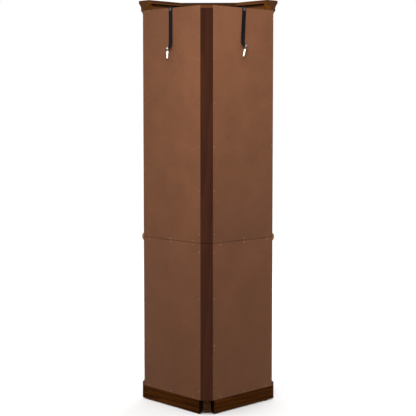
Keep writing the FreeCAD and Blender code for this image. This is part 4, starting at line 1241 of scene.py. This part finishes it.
def bead_rings(deep):
    """Section of a glazing bead that fills the step from the pane to the frame's face."""
    wide = 6.5 * MM
    return [(0, 0), (0, deep - 0.6 * MM), (0.7 * MM, deep - 0.2 * MM), (1.6 * MM, deep - 0.9 * MM),
            (2.4 * MM, deep - 1.0 * MM), (4.4 * MM, deep - 2.2 * MM), (5.8 * MM, deep - 4.4 * MM),
            (wide, deep - 5.8 * MM), (wide, 0)]


def glazing(width, height, middle, across, facing, thick, deep):
    """Two beads for a pane, one on each face."""
    shape = bmesh.new()
    for way in (1, -1):
        bead = ringed(width, height, bead_rings(deep), False)
        join(shape, set_up(bead, middle + facing * (way * thick / 2), across * way, facing * way))
    return shape


FRONT = Vector((0, -1, 0))
RIGHTWARD = Vector((1, 0, 0))
pane_low, pane_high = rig.box("upper_door_glass")
frame_low, frame_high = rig.box("upper_door_frame")
pane_middle = (pane_low + pane_high) / 2
pane_thick = pane_high.y - pane_low.y
door_bead = finish("upper_door_glazing_bead", glazing(
    pane_high.x - pane_low.x, pane_high.z - pane_low.z, pane_middle, RIGHTWARD, FRONT, pane_thick,
    pane_low.y - frame_low.y,
), stain_door, "upper_door")
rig.slot(door_bead, "stained_wood")
for side, points in side_panes.items():
    low, high = extent(points, OUT[side])
    near, far = extent(points, ALONG[side])
    bottom, top = extent(points, UP)
    frame_face = extent([vert.co for vert in nodes[f"upper_side_frame_{side}"].data.vertices], ALONG[side])[1]
    bead = glazing(high - low, top - bottom, middle_of(points), OUT[side] * -1 if side == "left" else OUT[side],
                   ALONG[side], far - near, frame_face - far)
    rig.slot(finish(f"side_glazing_bead_{side}", bead, stain_side, "cabinet"), "stained_wood")
    print(side, "side bead:", round((frame_face - far) * 1000, 1), "mm deep")

# %% The lower door's raised panel and the drawer fronts
panel_a, panel_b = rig.box("lower_door_panel")
thick = panel_b.y - panel_a.y
rise = panel_a.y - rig.box("lower_door_frame")[0].y - 1.0 * MM
raised = ringed(panel_b.x - panel_a.x, panel_b.z - panel_a.z, [
    (0, -thick / 2), (0, thick / 2 - 2.5 * MM), (1 * MM, thick / 2 - 2.5 * MM), (26 * MM, thick / 2 + rise - 2.2 * MM),
    (26.3 * MM, thick / 2 + rise - 0.6 * MM), (27.5 * MM, thick / 2 + rise - 0.1 * MM), (29 * MM, thick / 2 + rise),
], True)
set_up(raised, (panel_a + panel_b) / 2, RIGHTWARD, FRONT)
raised_panel = finish("lower_door_raised_panel", raised, stain_up, "lower_door")
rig.replaces(raised_panel, "lower_door_panel")
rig.slot(raised_panel, "stained_wood")

for drawer in ("top_drawer", "second_drawer"):
    low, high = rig.box(f"{drawer}_front")
    half = (high.y - low.y) / 2
    front = ringed(high.x - low.x, high.z - low.z, [
        (0.5 * MM, -half), (0, 0.5 * MM - half), (0, half - 5 * MM), (0.7 * MM, half - 3.6 * MM),
        (2.2 * MM, half - 2.6 * MM), (4.2 * MM, half - 2.2 * MM), (4.6 * MM, half - 0.7 * MM),
        (5.4 * MM, half - 0.1 * MM), (6.6 * MM, half),
    ], True)
    set_up(front, (low + high) / 2, RIGHTWARD, FRONT)
    piece = finish(f"{drawer}_moulded_front", front, stain_across, drawer)
    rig.replaces(piece, f"{drawer}_front")
    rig.slot(piece, "stained_wood")
print("raised panel", round(rise * 1000, 1), "mm proud of its edge")

# %% [markdown]
# ## Brass fittings
# The knobs are turned brass on a stepped rosette. The hinges are plain butt hinges on the face of the
# door, and what makes them read as hinges is small: the domed screws in each leaf and the turned tip at
# each end of the pin.

# %% Knobs
def brass_knob(spot):
    """Rosette, neck and mushroom head with a ring groove, facing the front."""
    shape = turned([
        (0, 0), (9.1 * MM, 0), (9.1 * MM, 0.8 * MM), (8.6 * MM, 1.4 * MM), (7.6 * MM, 1.5 * MM),
        (7.2 * MM, 2.2 * MM), (6.2 * MM, 2.6 * MM), (5.2 * MM, 2.9 * MM), (4.4 * MM, 4.2 * MM), (4.0 * MM, 7 * MM),
        (4.1 * MM, 9.5 * MM), (4.9 * MM, 11.5 * MM), (6.6 * MM, 13 * MM), (10.4 * MM, 14.6 * MM), (12.4 * MM, 16.2 * MM),
        (13.0 * MM, 17.8 * MM), (12.6 * MM, 19.2 * MM), (11.6 * MM, 20.2 * MM), (10.9 * MM, 20.3 * MM),
        (10.5 * MM, 20.8 * MM), (9.4 * MM, 21.8 * MM), (7.0 * MM, 23.0 * MM), (4.0 * MM, 23.7 * MM), (0, 24 * MM),
    ], FINE)
    bmesh.ops.transform(shape, matrix=aim(spot, FRONT), verts=shape.verts)
    return shape


for body, knob in (("upper_door", "upper_door_knob"), ("lower_door", "lower_door_knob"),
                   ("top_drawer", "top_drawer_knob"), ("second_drawer", "second_drawer_knob")):
    low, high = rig.box(knob)
    spot = (low + high) / 2
    spot.y = high.y
    piece = finish(f"{body}_brass_knob", brass_knob(spot), brass, body, smooth=True)
    piece.data.set_sharp_from_angle(angle=math.radians(55))
    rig.replaces(piece, knob)
    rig.slot(piece, "antique_brass")

# %% Hinge screws and pin tips
HINGE_SCREW_RISE = 17 * MM
SLOT_HALF = 0.35 * MM
SLOT_FLOOR = 0.3 * MM


def hinge_screw(spot):
    """A small domed screw head with a slot: two cuts across it, and the strip between them sunk."""
    head = turned([
        (0, 0), (2.7 * MM, 0), (2.6 * MM, 0.28 * MM), (2.2 * MM, 0.52 * MM), (1.5 * MM, 0.74 * MM),
        (0.7 * MM, 0.85 * MM), (0, 0.88 * MM),
    ], 20)
    for side in (1, -1):
        everything = head.verts[:] + head.edges[:] + head.faces[:]
        bmesh.ops.bisect_plane(head, geom=everything, plane_co=(side * SLOT_HALF, 0, 0), plane_no=(1, 0, 0))
    head.normal_update()
    strip = [face for face in head.faces if abs(face.calc_center_median().x) < SLOT_HALF
             and face.calc_center_median().z > SLOT_FLOOR]
    sunk = bmesh.ops.extrude_face_region(head, geom=strip)["geom"]
    bmesh.ops.delete(head, geom=strip, context="FACES")
    low = [part for part in sunk if isinstance(part, bmesh.types.BMVert)]
    bmesh.ops.scale(head, vec=(1, 1, 0), verts=low)
    bmesh.ops.translate(head, vec=(0, 0, SLOT_FLOOR), verts=low)
    bmesh.ops.transform(head, matrix=aim(spot, FRONT), verts=head.verts)
    return head


def leaf_screws(node):
    """Two screws for each leaf of a hinge node."""
    shape = bmesh.new()
    for points in solids_of(node):
        face = min(point.y for point in points if abs(point.y - FRONT_Y) < 1.6 * MM)
        plate = [point for point in points if abs(point.y - face) < 0.1 * MM]
        middle = middle_of(plate)
        for way in (1, -1):
            join(shape, hinge_screw(Vector((middle.x, face, middle.z + way * HINGE_SCREW_RISE))))
    return shape


for node, body in (("hinge_plates", "cabinet"), ("upper_door_hinges", "upper_door"), ("lower_door_hinges", "lower_door")):
    screws = finish(f"{node}_screws", leaf_screws(node), brass, body, smooth=True)
    screws.data.set_sharp_from_angle(angle=math.radians(40))
    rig.slot(screws, "antique_brass")
    print(screws.name, len(screws.data.polygons), "faces")

tips = bmesh.new()
TIP = [(0, 0), (2.6 * MM, 0), (2.9 * MM, 0.4 * MM), (2.2 * MM, 0.9 * MM), (1.6 * MM, 1.3 * MM), (2.4 * MM, 2.0 * MM),
       (2.8 * MM, 3.0 * MM), (2.4 * MM, 4.0 * MM), (1.2 * MM, 4.7 * MM), (0, 4.9 * MM)]
for points in solids_of("hinge_pins"):
    middle = middle_of(points)
    for way, reach in zip((-1, 1), extent(points, UP)):
        tip = turned(TIP, 20)
        bmesh.ops.transform(tip, matrix=aim(Vector((middle.x, middle.y, reach)), UP * way), verts=tip.verts)
        join(tips, tip)
pin_tips = finish("hinge_pin_tips", tips, brass, "cabinet", smooth=True)
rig.slot(pin_tips, "antique_brass")

# %% [markdown]
# ## Ring rolls
# The top drawer holds rings. They stand in the slits between soft velvet rolls, which are tubes of foam in
# a sewn cover. Each roll is turned, flattened where it rests on the drawer's bottom and given slow uneven
# dents, and each roll's dents are its own.

# %% Velvet rolls
from mathutils import noise

ROLLS = 10
pad_low, pad_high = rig.box("top_drawer_ring_pad")
roll_pitch = (pad_high.y - pad_low.y) / ROLLS
ROLL_GAP = 0.6 * MM


def ring_roll(number):
    """A padded roll lying across the drawer."""
    radius = roll_pitch / 2 - ROLL_GAP / 2
    half = (pad_high.x - pad_low.x) / 2 - 0.5 * MM
    ends = [(0, half - 2.6 * MM), (radius * 0.3, half - 2.2 * MM), (radius * 0.62, half - 0.6 * MM),
            (radius * 0.86, half), (radius * 0.97, half - 3 * MM), (radius, half - 7 * MM)]
    middle = [(radius, half - 7 * MM - step * (half * 2 - 14 * MM) / 40) for step in range(1, 40)]
    profile = ends + middle + [(r, -h) for r, h in reversed(ends)]
    shape = turned(profile, 28)
    bmesh.ops.rotate(shape, cent=(0, 0, 0), matrix=Matrix.Rotation(math.pi / 2, 3, "Y"), verts=shape.verts)
    spot = Vector(((pad_low.x + pad_high.x) / 2, pad_low.y + roll_pitch * (number + 0.5), 0))
    rest = pad_low.z + 0.2 * MM
    centre = (pad_low.z + pad_high.z) / 2
    for vert in shape.verts:
        dent = noise.noise(Vector((vert.co.x * 38 + number * 7.3, vert.co.y * 60, vert.co.z * 60))) * 0.55 * MM
        pull = vert.co.normalized() * (dent - 0.5 * MM)
        height = centre + (vert.co.z + pull.z) * (pad_high.z - pad_low.z) / (radius * 2)
        vert.co = (spot.x + vert.co.x, spot.y + vert.co.y + pull.y, max(height, rest))
    return shape


for number in range(ROLLS):
    roll = finish(f"ring_roll_{number + 1:02d}", ring_roll(number), velvet, "top_drawer", smooth=True)
    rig.padded(roll, fill=0.7)
    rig.slot(roll, "velvet")
    if number == 0:
        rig.replaces(roll, "top_drawer_ring_pad")
print(ROLLS, "ring rolls,", round(roll_pitch * 1000, 1), "mm apart")

# %% Write the sizes and finish
with open("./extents.json", "w") as size_file:
    json.dump({"cad": [list(corner) for corner in cad_box],
               "visual": [list(corner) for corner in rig.bounds()]}, size_file)
